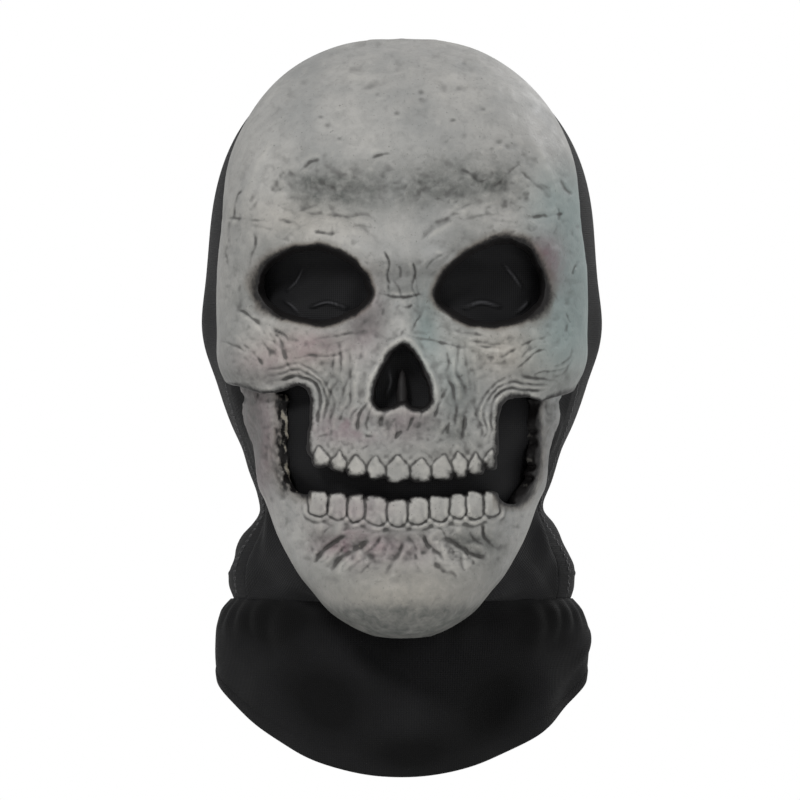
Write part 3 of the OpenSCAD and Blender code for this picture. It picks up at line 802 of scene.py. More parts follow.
def skull_paint(region):
    corner = blob(-64, 14, 9, 17) + blob(63, 8, 8, 16) + 0.45 * blob(50, 36, 14, 7)
    black = 0.95 * feather(eyes, 1.7 + 5.0 * corner, 80)
    black = np.maximum(black, feather(nose, 2.2, 82))
    cheek = np.where((GZ < -28) & (AX > 33), -region, 30.0)
    black = np.maximum(black, feather(cheek, 3.0, 84))
    slit = np.where(GZ < -60, -region, 30.0)
    reach = 3.0 + spots((3.0, -38, -66, 8, 5), (3.0, 40, -64, 8, 6))
    black = np.maximum(black, feather(slit, reach, 86))
    old = np.clip(0.5 + 0.9 * rough(13, 90, 4, (1.5, 1)), 0, 1)
    brown = feather(eyes, 3.0 + 8.0 * corner, 87)
    band = 0.45 + 0.6 * blob(-34, 55, 20, 9) + 0.7 * blob(24, 60, 22, 10)
    stain = 1.45 * bump(GZ - 59, 14) * ease((64 - AX) / 20) * band * (0.55 + 0.45 * old)
    stain += old * (0.5 * bump(eyes - 5, 8) + spots((0.9, 24, -50, 17, 7), (0.35, -8, -50, 12, 7)))
    # darker towards the sides, where the face turns away from the light: painted shade
    stain += (0.34 - 0.16 * ease(GX / 40)) * ease((AX - 60) / 24)
    stain += 0.25 * bump(GZ + 48, 16) * ease((42 - AX) / 10)
    # painted shade in the hollows beside the nose, under the cheekbones and at the inner corners of the
    # eyes
    stain += 0.45 * both(29, -33, 9, 11) + 0.5 * both(72, -32, 12, 5) + 0.35 * both(16, 2, 6, 10)
    # painted shade along the step under each cheekbone and across the root of the nose
    stain += 0.35 * bump(GZ + 25, 4) * ease((AX - 44) / 10) + 0.4 * bump(GZ - 14, 4) * ease((14 - AX) / 6)
    mauve = 0.8 * blob(-24, -48, 15, 7) * np.clip(0.7 + rough(9, 91), 0, 1)
    mauve += spots((0.5, 2, -46, 12, 8), (0.6, 61, 31, 7, 6), (0.4, 66, 23, 5, 9), (0.6, -16, 1, 7, 14),
                   (0.3, 68, 25, 7, 16), (0.6, -40, -12, 16, 7), (0.4, -62, -20, 14, 8))
    teal = 0.95 * ease((GX - 46) / 30) * ease((GZ + 45) / 40) * ease((80 - GZ) / 30)
    teal += spots((0.8, 11, -4, 6, 15), (0.35, 22, -26, 9, 20))
    warm = 0.6 * both(46, -14, 22, 12) + 0.4 * blob(-45, 44, 26, 10)
    warm += 0.2 * bump(GZ + 64, 8) * ease((40 - AX) / 10)
    return black, {"stain": stain, "mauve": mauve, "teal": teal, "warm": warm, "brown": brown}


def jaw_paint(region):
    cheek = np.where((GZ > -86) & (GZ < -24) & (AX > 40), -region, 30.0)
    # less black on the left, where the key light falls: painted light
    key_lit_left = ease((-44 - GX) / 6) * np.clip(SPATTER + 0.65, 0, 1)
    black = 0.95 * feather(cheek, 3.2, 100) * (1 - 0.75 * key_lit_left)
    slit = np.where(AX < 50, -region, 30.0)
    black = np.maximum(black, 0.95 * feather(slit, 2.2, 102))
    # painted shade where the jaw tucks in under the cheekbones
    black = np.maximum(black, 0.7 * both(68, -27, 14, 6))
    old = np.clip(0.5 + 0.9 * rough(12, 104, 4, (1.5, 1)), 0, 1)
    lower = 0.2 * bump(GZ + 88, 12) * ease((46 - AX) / 8) + 0.4 * bump(GZ + 97, 3.5) * ease((48 - AX) / 12)
    stain = old * (spots((1.1, 32, -105, 15, 7), (0.35, -5, -107, 30, 6)) + lower)
    # painted shade in the hollows over the jaw's hinges
    stain += 0.8 * both(66, -54, 7, 26) + 0.6 * blob(-68, -48, 6, 22)
    # darker towards the bottom of the chin: painted shade under it
    stain += 0.4 * ease((-106 - GZ) / 10) + 1.2 * ease((-123 - GZ) / 13)
    mauve = 0.8 * blob(-24, -100, 15, 8) * np.clip(0.7 + rough(9, 105), 0, 1)
    # the first two spots are mauve stain with painted shade in the hollows over the jaw's hinges
    mauve += spots((1.2, -66, -52, 8, 26), (0.4, 69, -60, 8, 24), (0.4, 0, -102, 14, 7),
                   (0.35, -20, -84, 18, 6))
    teal = 0.35 * ease((GX - 44) / 26) * ease((GZ + 100) / 40)
    warm = 0.7 * blob(0, -122, 34, 14) + 0.1 * bump(GZ + 86, 8) * ease((48 - AX) / 10)
    brown = 0.8 * feather(cheek, 6.5, 107) * (1 - 0.4 * key_lit_left)
    return black, {"stain": stain, "mauve": mauve, "teal": teal, "warm": warm, "brown": brown}


# ---------------------------------------------------------------- materials


class Shade:
    """A node material, built up from small calls."""

    def __init__(self, name, **constants):
        self.material = bpy.data.materials.new(name)
        self.material.use_nodes = True
        self.nodes = self.material.node_tree.nodes
        self.shader = self.nodes["Principled BSDF"]
        for socket, value in constants.items():
            self.shader.inputs[socket.replace("_", " ")].default_value = value
        self.coordinates = self.nodes.new("ShaderNodeTexCoord").outputs["Object"]

    def link(self, value, socket):
        if isinstance(value, bpy.types.NodeSocket):
            self.material.node_tree.links.new(value, socket)
        else:
            socket.default_value = value

    def number(self, name):
        node = self.nodes.new("ShaderNodeAttribute")
        node.attribute_name = name
        return node.outputs["Fac"]

    def add(self, kind, **inputs):
        """A node, with some of its inputs linked or set."""
        node = self.nodes.new("ShaderNode" + kind)
        for name, value in inputs.items():
            self.link(value, node.inputs[name.replace("_", " ")])
        return node

    def noise(self, size, detail=3.0, roughness=0.55, distortion=0.0):
        """Noise with features about size mm across."""
        return self.add("TexNoise", Vector=self.coordinates, Scale=1 / (size * MM), Detail=detail,
                        Roughness=roughness, Distortion=distortion).outputs["Fac"]

    def math(self, operation, a, b=0.0):
        node = self.nodes.new("ShaderNodeMath")
        node.operation = operation
        self.link(a, node.inputs[0])
        self.link(b, node.inputs[1])
        return node.outputs["Value"]

    def wave(self, name, pitch):
        """A sine along one of the cloth's own directions, with a wave every pitch mm."""
        return self.math("SINE", self.math("MULTIPLY", self.number(name), 2 * math.pi / pitch))

    def span(self, value, low, high, to_low=0.0, to_high=1.0):
        return self.add("MapRange", Value=value, From_Min=low, From_Max=high, To_Min=to_low,
                        To_Max=to_high).outputs["Result"]

    def mix(self, factor, a, b):
        node = self.nodes.new("ShaderNodeMix")
        node.data_type = "RGBA"
        self.link(factor, node.inputs[0])
        for value, socket in ((a, node.inputs[6]), (b, node.inputs[7])):
            self.link((*value, 1) if isinstance(value, tuple) else value, socket)
        return node.outputs[2]

    def bump(self, height, distance, strength=1.0, under=None):
        node = self.add("Bump", Distance=distance * MM, Strength=strength, Height=height)
        if under is not None:
            self.link(under, node.inputs["Normal"])
        return node.outputs["Normal"]

    def finish(self, colour, normal, roughness=None):
        self.link(colour, self.shader.inputs["Base Color"])
        self.link(normal, self.shader.inputs["Normal"])
        if roughness is not None:
            self.link(roughness, self.shader.inputs["Roughness"])
        return self.material


def latex_material():
    m = Shade("cast_latex", Specular_IOR_Level=0.14)
    colour = m.mix(m.span(m.noise(30, 3), 0.35, 0.65), (0.183, 0.180, 0.171), (0.136, 0.137, 0.133))
    colour = m.mix(m.math("MULTIPLY", m.number("warm"), 0.8), colour, (0.195, 0.176, 0.148))
    colour = m.mix(m.span(m.noise(5.5, 6, 0.65, 0.6), 0.44, 0.72, 0.0, 0.42), colour, (0.096, 0.096, 0.093))
    # painted highlight on the ridges
    colour = m.mix(m.span(m.number("cavity_shade"), -0.1, -0.9, 0.0, 0.45), colour, (0.26, 0.252, 0.232))
    patchy = m.span(m.noise(4, 5, 0.6, 0.4), 0.3, 0.65, 0.55, 1.0)
    colour = m.mix(m.math("MULTIPLY", m.number("teal"), 0.7), colour, (0.112, 0.154, 0.152))
    # mauve stain, with painted shade in the hollows over the jaw's hinges
    colour = m.mix(m.math("MULTIPLY", m.number("mauve"), patchy), colour, (0.098, 0.058, 0.070))
    # real stains, with painted shade in hollows, under the cheekbones and under the chin
    colour = m.mix(m.math("MULTIPLY", m.number("stain"), patchy), colour, (0.047, 0.049, 0.046))
    colour = m.mix(m.math("MULTIPLY", m.number("brown"), 0.75), colour, (0.045, 0.034, 0.025))
    # painted shade in the hollows, where the paint also collects
    colour = m.mix(m.span(m.number("cavity_shade"), 0.06, 0.9, 0.0, 0.78), colour, (0.026, 0.025, 0.024))
    # painted shade in the creases
    colour = m.mix(m.span(m.number("crease_shade"), 0.04, 0.6, 0.0, 0.85), colour, (0.018, 0.017, 0.016))
    specks = m.span(m.noise(1.3, 2, 0.5), 0.66, 0.74, 0.0, 0.5)
    colour = m.mix(specks, colour, (0.05, 0.048, 0.044))
    colour = m.mix(m.number("inside"), colour, (0.20, 0.18, 0.14))
    ragged = m.span(m.noise(2.2, 4, 0.7), 0.3, 0.7, -0.18, 0.18)
    brushed = m.span(m.math("ADD", m.number("black"), ragged), 0.08, 0.85)
    colour = m.mix(brushed, colour, (0.005, 0.0045, 0.0045))
    normal = m.bump(m.noise(1.5, 5, 0.6), 0.35, 0.55)
    normal = m.bump(m.noise(0.45, 2, 0.5), 0.12, 0.4, normal)
    return m.finish(colour, normal, m.span(m.noise(9, 4), 0.3, 0.7, 0.5, 0.68))


def knit_material():
    m = Shade("stretch_knit", Roughness=0.78, Sheen_Weight=0.02, Sheen_Roughness=0.4,
              Specular_IOR_Level=0.05)
    wale = m.wave("u", 1.15)
    shift = m.math("MULTIPLY", m.math("ABSOLUTE", wale), 1.6)
    course = m.math("SINE", m.math("ADD", m.math("MULTIPLY", m.number("v"), 2 * math.pi / 0.95), shift))
    loops = m.math("ADD", m.math("MULTIPLY", wale, 0.6), m.math("MULTIPLY", course, 0.4))
    worn = m.span(m.noise(22, 4), 0.35, 0.7)
    colour = m.mix(worn, (0.0042, 0.0042, 0.0044), (0.0072, 0.0072, 0.0076))
    colour = m.mix(m.span(loops, -1, 1, 0.0, 0.45), colour, (0.012, 0.012, 0.0128))
    # painted shade on the drape, darkest in its hollows
    colour = m.mix(m.math("MULTIPLY", m.number("painted_light"), 0.9), colour, (0.0012, 0.0012, 0.0012))
    normal = m.bump(loops, 0.16, 0.7)
    return m.finish(colour, m.bump(m.noise(0.6, 3), 0.06, 0.4, normal))


def gauze_material():
    m = Shade("black_gauze", Roughness=0.6, Sheen_Weight=0.01, Sheen_Roughness=0.4,
              Specular_IOR_Level=0.05)
    warp, weft = (m.math("ABSOLUTE", m.wave(name, 1.8)) for name in ("u", "v"))
    thread = m.math("MAXIMUM", warp, weft)
    colour = m.mix(m.span(thread, 0.55, 0.95), (0.0012, 0.0012, 0.0012), (0.0065, 0.0065, 0.007))
    # painted glints along the gauze's creases
    colour = m.mix(m.math("MULTIPLY", m.number("painted_light"), 0.6), colour, (0.040, 0.040, 0.043))
    return m.finish(colour, m.bump(thread, 0.2, 0.6))


def tape_material():
    m = Shade("woven_tape", Roughness=0.8, Sheen_Weight=0.04, Specular_IOR_Level=0.15)
    weave = m.math("MULTIPLY", m.wave("u", 1.3), m.wave("v", 1.0))
    colour = m.mix(m.span(weave, -1, 1), (0.006, 0.006, 0.0065), (0.016, 0.016, 0.017))
    return m.finish(colour, m.bump(weave, 0.15, 0.6))


def thread_material():
    m = Shade("polyester_thread", Roughness=0.5, Specular_IOR_Level=0.4)
    colour = m.mix(m.noise(1.2, 2), (0.012, 0.012, 0.013), (0.028, 0.028, 0.030))
    return m.finish(colour, m.bump(m.noise(0.3, 2), 0.05, 0.5))


LATEX, KNIT, GAUZE, TAPE, THREAD = (make() for make in (
    latex_material, knit_material, gauze_material, tape_material, thread_material))


def dress(piece, material, body="hood", nodes=()):
    piece.data.materials.clear()
    piece.data.materials.append(material)
    if body:
        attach(piece, body)
    if nodes:
        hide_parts(*nodes)


# ---------------------------------------------------------------- the latex castings

TRIANGLES = 190000


def make_casting(name, made, paint_with, body, node):
    block, solid, low, relief, region, opening = made
    piece = block.mesh(name, solid, TRIANGLES)
    black, tints = paint_with(region)
    paint(piece, block, low, relief, black, tints, opening, 0.45 if body == "jaw" else 0.0)
    dress(piece, LATEX, body, [node])
    return piece


skull_made = skull_solid()
make_casting("skull_face_latex", skull_made, skull_paint, "hood", "skull_face")
make_casting("jaw_latex", jaw_solid(), jaw_paint, "jaw", "jaw")

# ---------------------------------------------------------------- sheets of cloth


TAPE_T, GAUZE_T = 0.9, 0.6


def unit(v):
    return v / np.maximum(np.linalg.norm(v, axis=-1, keepdims=True), 1e-9)


def normals_of(grid, around=False):
    """Unit normals of a grid of points, pointing to the left of its rows."""
    if around:
        wide = np.concatenate([grid[:, -1:], grid, grid[:, :1]], 1)
        along = wide[:, 2:] - wide[:, :-2]
    else:
        along = np.gradient(grid, axis=1)
    return unit(np.cross(along, np.gradient(grid, axis=0)))


def cloth(name, grid, thick, around=False, u=None, v=None, extra=None, disc=False):
    """A sheet with two faces and rounded edges, from the grid of its outer face in millimetres.
    Rows run down and columns run towards +X, or go round the object. A disc's last row is its middle."""
    n = normals_of(grid, around)
    if disc:
        n[-1] = unit(n[-2].mean(0))
    inner = grid - n * thick
    rows, columns = grid.shape[:2]

    def rim(a, b, beyond):
        return (a + b) / 2 + unit(beyond) * thick / 2

    top = rim(grid[0], inner[0], grid[0] - grid[1])[None]
    low = rim(grid[-1], inner[-1], (grid[-1] - grid[-2]) * (not disc))[None]
    sleeve = np.concatenate([top, grid, low, inner[::-1]])
    u = np.broadcast_to(np.arange(columns) if u is None else u, (rows, columns))
    v = np.broadcast_to(np.arange(rows)[:, None] if v is None else v, (rows, columns))
    painted_light = np.zeros((rows, columns)) if extra is None else extra
    number = [np.concatenate([w[:1], w, w[-1:], w[::-1]]) for w in (u, v, painted_light)]
    if not around:
        mirror = np.concatenate([top, inner, low, grid[::-1]])
        beyond = [sleeve[:, a] - sleeve[:, b] + mirror[:, a] - mirror[:, b] for a, b in ((0, 1), (-1, -2))]
        left = rim(sleeve[:, 0], mirror[:, 0], beyond[0])[:, None]
        right = rim(sleeve[:, -1], mirror[:, -1], beyond[1])[:, None]
        left[[0, rows + 1]] = sleeve[[0, rows + 1], :1]
        right[[0, rows + 1]] = sleeve[[0, rows + 1], -1:]
        sleeve = np.concatenate([left, sleeve, right], 1)
        number = [np.concatenate([w[:, :1], w, w[:, -1:]], 1) for w in number]
    r, c = sleeve.shape[:2]
    index = np.arange(r * c).reshape(r, c)
    below = np.roll(index, -1, 0)
    if around:
        beside, below_beside = np.roll(index, -1, 1), np.roll(below, -1, 1)
        quads = np.stack([index, below, below_beside, beside], -1).reshape(-1, 4)
    else:
        quads = np.stack([index[:, :-1], below[:, :-1], below[:, 1:], index[:, 1:]], -1).reshape(-1, 4)
    piece = new_mesh(name, sleeve.reshape(-1, 3) * MM, quads)
    for attribute, w in zip(("u", "v", "painted_light"), number):
        set_number(piece, attribute, w.ravel())
    edit_mesh(piece, weld_sheet)
    return piece


def evenly(path, step):
    """The path's points, spaced evenly about step apart."""
    length = np.concatenate([[0], np.cumsum(np.linalg.norm(np.diff(path, axis=0), axis=1))])
    count = max(2, int(length[-1] / step) + 1)
    at = np.linspace(0, length[-1], count)
    return np.stack([np.interp(at, length, path[:, i]) for i in range(3)], 1)


def tube(path, radius, sides=6):
    """Rings round a path, and the faces between them."""
    along = unit(np.gradient(path, axis=0))
    a = unit(np.cross(along, [0.31, 0.52, 0.79]))
    b = np.cross(along, a)
    turn = np.linspace(0, 2 * math.pi, sides, endpoint=False)
    ring = a[:, None] * np.cos(turn)[None, :, None] + b[:, None] * np.sin(turn)[None, :, None]
    points = path[:, None] + ring * np.broadcast_to(radius, len(path))[:, None, None]
    i = np.arange(len(path) - 1)[:, None] * sides
    j = np.arange(sides)[None]
    k = (j + 1) % sides
    return points.reshape(-1, 3), np.stack([i + j, i + k, i + sides + k, i + sides + j], -1).reshape(-1, 4)


def threads(name, tubes):
    """One object from many tubes, each closed at both ends by its taper."""
    points, faces, count = [], [], 0
    for p, f in tubes:
        points.append(p)
        faces.append(f + count)
        count += len(p)
    piece = new_mesh(name, np.concatenate(points) * MM, np.concatenate(faces))
    edit_mesh(piece, cap_tubes)
    dress(piece, THREAD)
    return piece


def running_stitch(path, out, pitch=3.0, length=2.2, radius=0.24):
    """Short stitches along a path that lies on the cloth. out gives the outward direction at points."""
    spots = evenly(path, 0.5)
    per = max(2, round(pitch / 0.5))
    half = max(1, round(length / 1.0))
    tubes = []
    for i in range(half, len(spots) - half, per):
        piece = spots[i - half:i + half + 1]
        t = np.linspace(-1, 1, len(piece))
        lift = 0.30 - 0.55 * t**4
        tubes.append(tube(piece + out(piece) * lift[:, None], radius * np.sqrt(1.02 - 0.75 * t**4)))
    return tubes


def flatlock(path, out, reach=1.7, pitch=1.7, radius=0.25):
    """A zigzag of thread over a seam."""
    spots = evenly(path, pitch / 2)
    side = unit(np.cross(np.gradient(spots, axis=0), out(spots)))
    zig = spots + side * (reach * np.where(np.arange(len(spots)) % 2, 1, -1))[:, None] + out(spots) * 0.32
    return [tube(zig, radius, 5)]


# ---------------------------------------------------------------- the knit hood

HOOD_SIDE = table(
    (-126, 75.5), (-119, 77.5), (-112, 78), (-105, 76), (-98, 71.5), (-92, 67.5), (-85, 64.5), (-78, 65.5),
    (-65, 70), (-45, 77.5), (-30, 82), (-12, 85.5), (5, 86.5), (24, 87))
HOOD_FORE = table((-126, -40), (-105, -38), (-85, -46), (-60, -68), (-30, -86), (0, -93), (24, -96))
HOOD_MID = table((-126, 12), (-85, 12), (-30, 18), (24, 18))
HOOD_AFT = table((-126, 62), (-105, 60), (-85, 63), (-60, 75), (-30, 90), (0, 97), (24, 98))
HOOD_EDGE = table(
    (-126, -10), (-80, -14), (-36, -20), (-8, -30), (4, -45), (50, -47), (80, -40), (118, -24), (124, -22))
CROWN, HOOD_ROUND, KNIT_T, SEAM_X, NECK_Z = 121.0, 2.4, 1.5, 34.2, -126.0


def hood_depth(in_front, z):
    """Depth of the hood at a height, from its middle to its front or to its back."""
    return np.where(in_front, HOOD_MID(z) - HOOD_FORE(z), HOOD_AFT(z) - HOOD_MID(z))


def hood_ears(y, z):
    """How far the ears push the hood out."""
    return 4 * bump(y - 12, 17) * bump(z + 4, 24)


def hood_shape(x, y, z):
    """Zero on the hood's smooth outer face, less inside it."""
    middle = HOOD_MID(z)
    ring = np.hypot(x / (HOOD_SIDE(z) + hood_ears(y, z)), (y - middle) / hood_depth(y < middle, z))
    rise = np.clip((z - TEMPLE_Z) / (CROWN - TEMPLE_Z), 0, None)
    return (ring**HOOD_ROUND + rise**HOOD_ROUND) ** (1 / HOOD_ROUND) - 1


def room_under_crown(z):
    """The square of what the dome leaves of the hood's ring at a height."""
    rise = np.clip((z - TEMPLE_Z) / (CROWN - TEMPLE_Z), 0, 1)
    return (1 - rise**HOOD_ROUND) ** (2 / HOOD_ROUND)


def hood_out(points):
    """The outward direction of the hood at points near it."""
    step = np.eye(3) * 0.4
    slopes = [hood_shape(*(points + s).T) - hood_shape(*(points - s).T) for s in step]
    return unit(np.stack(slopes, 1))


def hood_folds(x, y, z):
    """Soft folds of the worn knit, in mm outwards."""
    turn = np.arctan2(x, 12 - y)
    calm = ease((y - HOOD_EDGE(z)) / 22)
    rings = 1.1 * np.sin(z / 4.2 + 1.7 * np.sin(2 * turn + 0.6)) + 0.6 * np.sin(z / 2.9 - 3 * turn)
    neck = bump(z + 98, 20) * rings
    behind = bump(turn - math.pi * np.sign(turn), 1.0)
    nape = 1.3 * bump(z + 70, 30) * behind * np.sin(z / 7 + 1.3 * np.cos(3 * turn))
    side = 0.7 * bump(z + 40, 34) * np.sin(y / 8 + z / 14 + np.sin(z / 11))
    line = 0.5 * bump(z + 114, 0.9) * ease((np.abs(x) - 52) / 10)
    return line + calm * (neck + nape + side + 0.3 * np.sin(x / 21 + 1) * np.sin(z / 17 + y / 25))


class HoodVoxels(Voxels):
    """Voxels round the hood, with their distance to its outer face and to its face edge."""

    step = 0.85

    def __init__(self):
        spans = ((-94, 94.1), (-52, 102), (-128.5, 124))
        self.x, self.y, self.z = (np.arange(a, b, self.step) for a, b in spans)
        shape = hood_shape(self.x[:, None, None], self.y[None, :, None], self.z[None, None, :])
        gx, gy, gz = np.gradient(shape, self.step)
        self.distance = (shape / np.sqrt(gx * gx + gy * gy + gz * gz + 1e-9)).astype(np.float32)
        self.behind = (self.y[:, None] - HOOD_EDGE(self.z)[None, :]).astype(np.float32)[None]


def wear(piece, folds=True):
    """Folds the worn knit, and gives it the run of its wales and courses."""
    at = places(piece).astype(float)
    if folds:
        at += hood_out(at) * hood_folds(*at.T)[:, None]
        piece.data.vertices.foreach_set("co", (at * MM).astype(np.float32).ravel())
        piece.data.update()
    x, y, z = at.T
    if abs(x).max() < SEAM_X + 3:
        set_number(piece, "u", x)
        set_number(piece, "v", np.where(z > TEMPLE_Z, TEMPLE_Z + 95 * np.arctan2(z - TEMPLE_Z, y - 18), z))
    else:
        set_number(piece, "u", 84 * np.arctan2(np.abs(x), 14 - y))
        set_number(piece, "v", z)


hood = HoodVoxels()
hood_x = hood.x[:, None, None]
in_hem = ease((9.5 - hood.behind) / 1.2)
puckers = 0.12 * in_hem * np.sin(hood.z * 1.9)[None, None, :]
seam_dip = 0.75 * bump(np.abs(hood_x) - SEAM_X, 1.7)
skin = smooth_max(hood.distance - 0.55 * in_hem - puckers + seam_dip, -(hood.distance + KNIT_T), 0.3)
skin = smooth_max(skin, -hood.behind, 0.8)
skin = smooth_max(skin, (NECK_Z + 0.2 - hood.z)[None, None, :], 0.5)
for node, beyond in (("hood_crown", np.abs(hood_x) - (SEAM_X - 0.1)), ("hood_left", hood_x + SEAM_X + 0.1),
                     ("hood_right", SEAM_X + 0.1 - hood_x)):
    panel = hood.mesh(node + "_knit", smooth_max(skin, beyond, 0.5), 110000)
    wear(panel)
    dress(panel, KNIT, nodes=[node])

band = np.maximum(hood.distance + KNIT_T + 0.25, -(hood.distance + KNIT_T + 1.25))
ribs = 0.12 * np.cos(hood.behind * 2 * math.pi / 1.9)
band = smooth_max(band + ribs, np.abs(hood.behind - 4.6) - 3.9, 0.5)
band = np.maximum(band, (-33 - hood.z)[None, None, :])
elastic = hood.mesh("face_elastic_tape", band, 24000)
wear(elastic, folds=False)
dress(elastic, TAPE, nodes=["face_elastic"])


def face_edge_path(inset):
    """A line on the hood, inset mm behind its face edge, from the neck over the top to the neck."""
    z = np.concatenate([np.arange(NECK_Z + 3, 100, 0.5), np.arange(100, CROWN, 0.02)])
    y = HOOD_EDGE(z) + inset
    middle = HOOD_MID(z)
    room = room_under_crown(z) - ((y - middle) / hood_depth(y < middle, z)) ** 2
    z, y, room = (w[room > 0] for w in (z, y, room))
    right = np.stack([(HOOD_SIDE(z) + hood_ears(y, z)) * np.sqrt(room), y, z], 1)
    return np.concatenate([right * [-1, 1, 1], right[::-1]])


def panel_seam_path(side):
    """The seam between the centre panel and a side panel, from the nape over the top to the face edge."""
    z = np.concatenate([np.arange(NECK_Z + 2, 90, 0.5), np.arange(90, CROWN, 0.05)])
    room = room_under_crown(z) - (SEAM_X / HOOD_SIDE(z)) ** 2
    z, room = z[room > 0], room[room > 0]
    x = np.full(len(z), side * SEAM_X)
    back, front = (np.stack([x, HOOD_MID(z) + sign * hood_depth(sign < 0, z) * np.sqrt(room), z], 1)
                   for sign in (1, -1))
    front = front[(front[:, 1] > HOOD_EDGE(z) + 1.5) & (z > 60)]
    return np.concatenate([back, front[::-1]])


def on_knit(points):
    return points + hood_out(points) * hood_folds(*points.T)[:, None]


edge_stitches = []
for inset in (7.6, 8.9):
    path = evenly(face_edge_path(inset), 0.5)
    edge_stitches += running_stitch(path + hood_out(path) * 0.45, hood_out)
edge_thread = threads("face_edge_stitches", edge_stitches)
seam_threads = []
for side in (-1, 1):
    path = on_knit(evenly(panel_seam_path(side), 0.8))
    seam_threads += flatlock(path - hood_out(path) * 0.2, hood_out)
seam_thread = threads("panel_seam_stitches", seam_threads)

# ---------------------------------------------------------------- neck drape

DRAPE_SIDE = table((-204, 72), (-180, 77), (-160, 79.5), (-146, 81.5), (-139, 82), (-132, 80), (-126, 75.5))
DRAPE_FORE = table((-204, -62), (-180, -57), (-160, -50), (-148, -45), (-139, -42), (-126, -40))
DRAPE_AFT = table((-204, 74), (-180, 75), (-160, 74), (-139, 69), (-126, 62))
DRAPE_MID = 12


def hem_height(turn):
    """Height of the hem, round the drape. A turn of 0 is the front."""
    c = np.cos(turn)
    return -155 + np.where(c > 0, -204 + 155, -184 + 155) * np.abs(c)


# Soft hollows of the drape, and where painted shade darkens its cloth: the turn and the part of the
# middle, the half width in degrees, the half height as a part, and the depth
DRAPE_DENTS = (
    (-27, 0.62, 13, 0.20, 5.5), (33, 0.66, 11, 0.22, 6.0), (4, 0.86, 16, 0.13, 3.0),
    (-52, 0.30, 12, 0.16, 4.0), (60, 0.34, 12, 0.18, 4.0), (150, 0.55, 18, 0.25, 4.5),
    (-140, 0.6, 16, 0.22, 4.0))
DRAPE_SHADE = (
    (-27, 0.62, 15, 0.22, 1), (33, 0.66, 13, 0.24, 1), (-48, 0.16, 16, 0.18, 1),
    (50, 0.18, 16, 0.18, 1), (4, 0.88, 16, 0.12, 0.8), (0, 0.1, 40, 0.08, 0.6))


def hollows(rows, part, turn):
    """How deep a set of soft hollows is, at a place of the drape."""
    deep = 0
    for at, down, wide, tall, depth in rows:
        gap = (turn - math.radians(at) + math.pi) % (2 * math.pi) - math.pi
        deep = deep + depth * bump(gap, math.radians(wide)) * bump(part - down, tall)
    return deep


def drape_place(part, turn, off=0.0):
    """A point of the drape. Part 0 is the neck seam and 1 is the hem."""
    z = -127 + (hem_height(turn) + 127) * part
    c = np.cos(turn)
    depth = np.where(c > 0, DRAPE_MID - DRAPE_FORE(z), DRAPE_AFT(z) - DRAPE_MID)
    swing = part * part * (3 - 2 * part)
    fold = 1.6 * swing * np.cos(5 * turn + 0.35)
    fold += 1.5 * swing * np.sin(9 * turn + 1.1) * np.abs(np.sin(turn))
    fold += 0.8 * swing * np.sin(13 * turn + 2 * part)
    fold += 0.55 * bump(part - 0.12, 0.16) * np.sin(34 * turn + 2 * np.sin(5 * turn))
    fold -= hollows(DRAPE_DENTS, part, turn)
    fold += 1.4 * bump(part - 0.5 - 0.25 * np.sin(2 * turn), 0.08) * (0.5 + 0.5 * np.cos(3 * turn + 1))
    reach = off + fold
    x, y = (DRAPE_SIDE(z) + reach) * np.sin(turn), DRAPE_MID - (depth + reach) * c
    return np.stack([x, y, z + 0 * turn], -1)


def drape_out(points):
    """Outward and level, which is near enough square to the drape."""
    return unit((points - [0, DRAPE_MID, 0]) * [1, 1, 0])


rows = np.linspace(-0.02, 1, 70)[:, None]
columns = 300
for name, node, start in (("drape_front_knit", "drape_front", -90), ("drape_back_knit", "drape_back", 90)):
    turn = np.radians(np.linspace(start + 0.25, start + 179.75, columns))[None, :]
    grid = drape_place(rows, turn)
    grid += drape_out(grid) * (0.5 * ease((rows - 0.90) / 0.015))[..., None]
    # painted shade over the drape, darkest in its hollows
    black = np.clip(0.35 + hollows(DRAPE_SHADE, rows, turn), 0, 1)
    piece = cloth(name, grid, KNIT_T, u=np.degrees(turn) * 1.4, v=grid[..., 2], extra=black)
    dress(piece, KNIT, nodes=[node])
round_turn = np.radians(np.arange(0, 360, 1.5))[None, :]


def tape_ring(name, grid, node):
    """A tape round the inside of the drape."""
    piece = cloth(name, grid, TAPE_T, around=True, u=np.degrees(round_turn) * 1.4, v=grid[..., 2])
    dress(piece, TAPE, nodes=[node])
    return piece


hem_grid = drape_place(np.linspace(0.89, 0.992, 12)[:, None], round_turn, -KNIT_T - 0.35)
hem_tape = tape_ring("hem_binding_tape", hem_grid, "hem_binding")
hem_stitches = []
for part in (0.895, 0.915):
    turn = np.radians(np.linspace(-180, 180, 900))
    path = drape_place(np.full(turn.shape, part), turn)
    hem_stitches += running_stitch(path + drape_out(path) * 0.1, drape_out)
hem_thread = threads("hem_stitches", hem_stitches)


def neck_ring(z, turn, off):
    """A point of the hood below the crown, off mm outside its smooth face."""
    c = np.cos(turn)
    x, y = (HOOD_SIDE(z) + off) * np.sin(turn), HOOD_MID(z) - (hood_depth(c > 0, z) + off) * c
    return np.stack([x, y, z + 0 * turn], -1)


tape_off = -KNIT_T - 1.3
upper = neck_ring(np.linspace(-121, -126, 6)[:, None], round_turn, tape_off)
lower = drape_place(np.linspace(0.0, 0.05, 6)[:, None], round_turn, tape_off)
neck_tape = tape_ring("neck_seam_tape", np.concatenate([upper, lower]), "neck_tape")
seam = neck_ring(np.full(900, -126.4), np.radians(np.linspace(-180, 180, 900)), 0.0)
neck_thread = threads("neck_seam_stitches", flatlock(seam - drape_out(seam) * 0.15, drape_out, 2.0, 1.5))

# ---------------------------------------------------------------- chin gusset


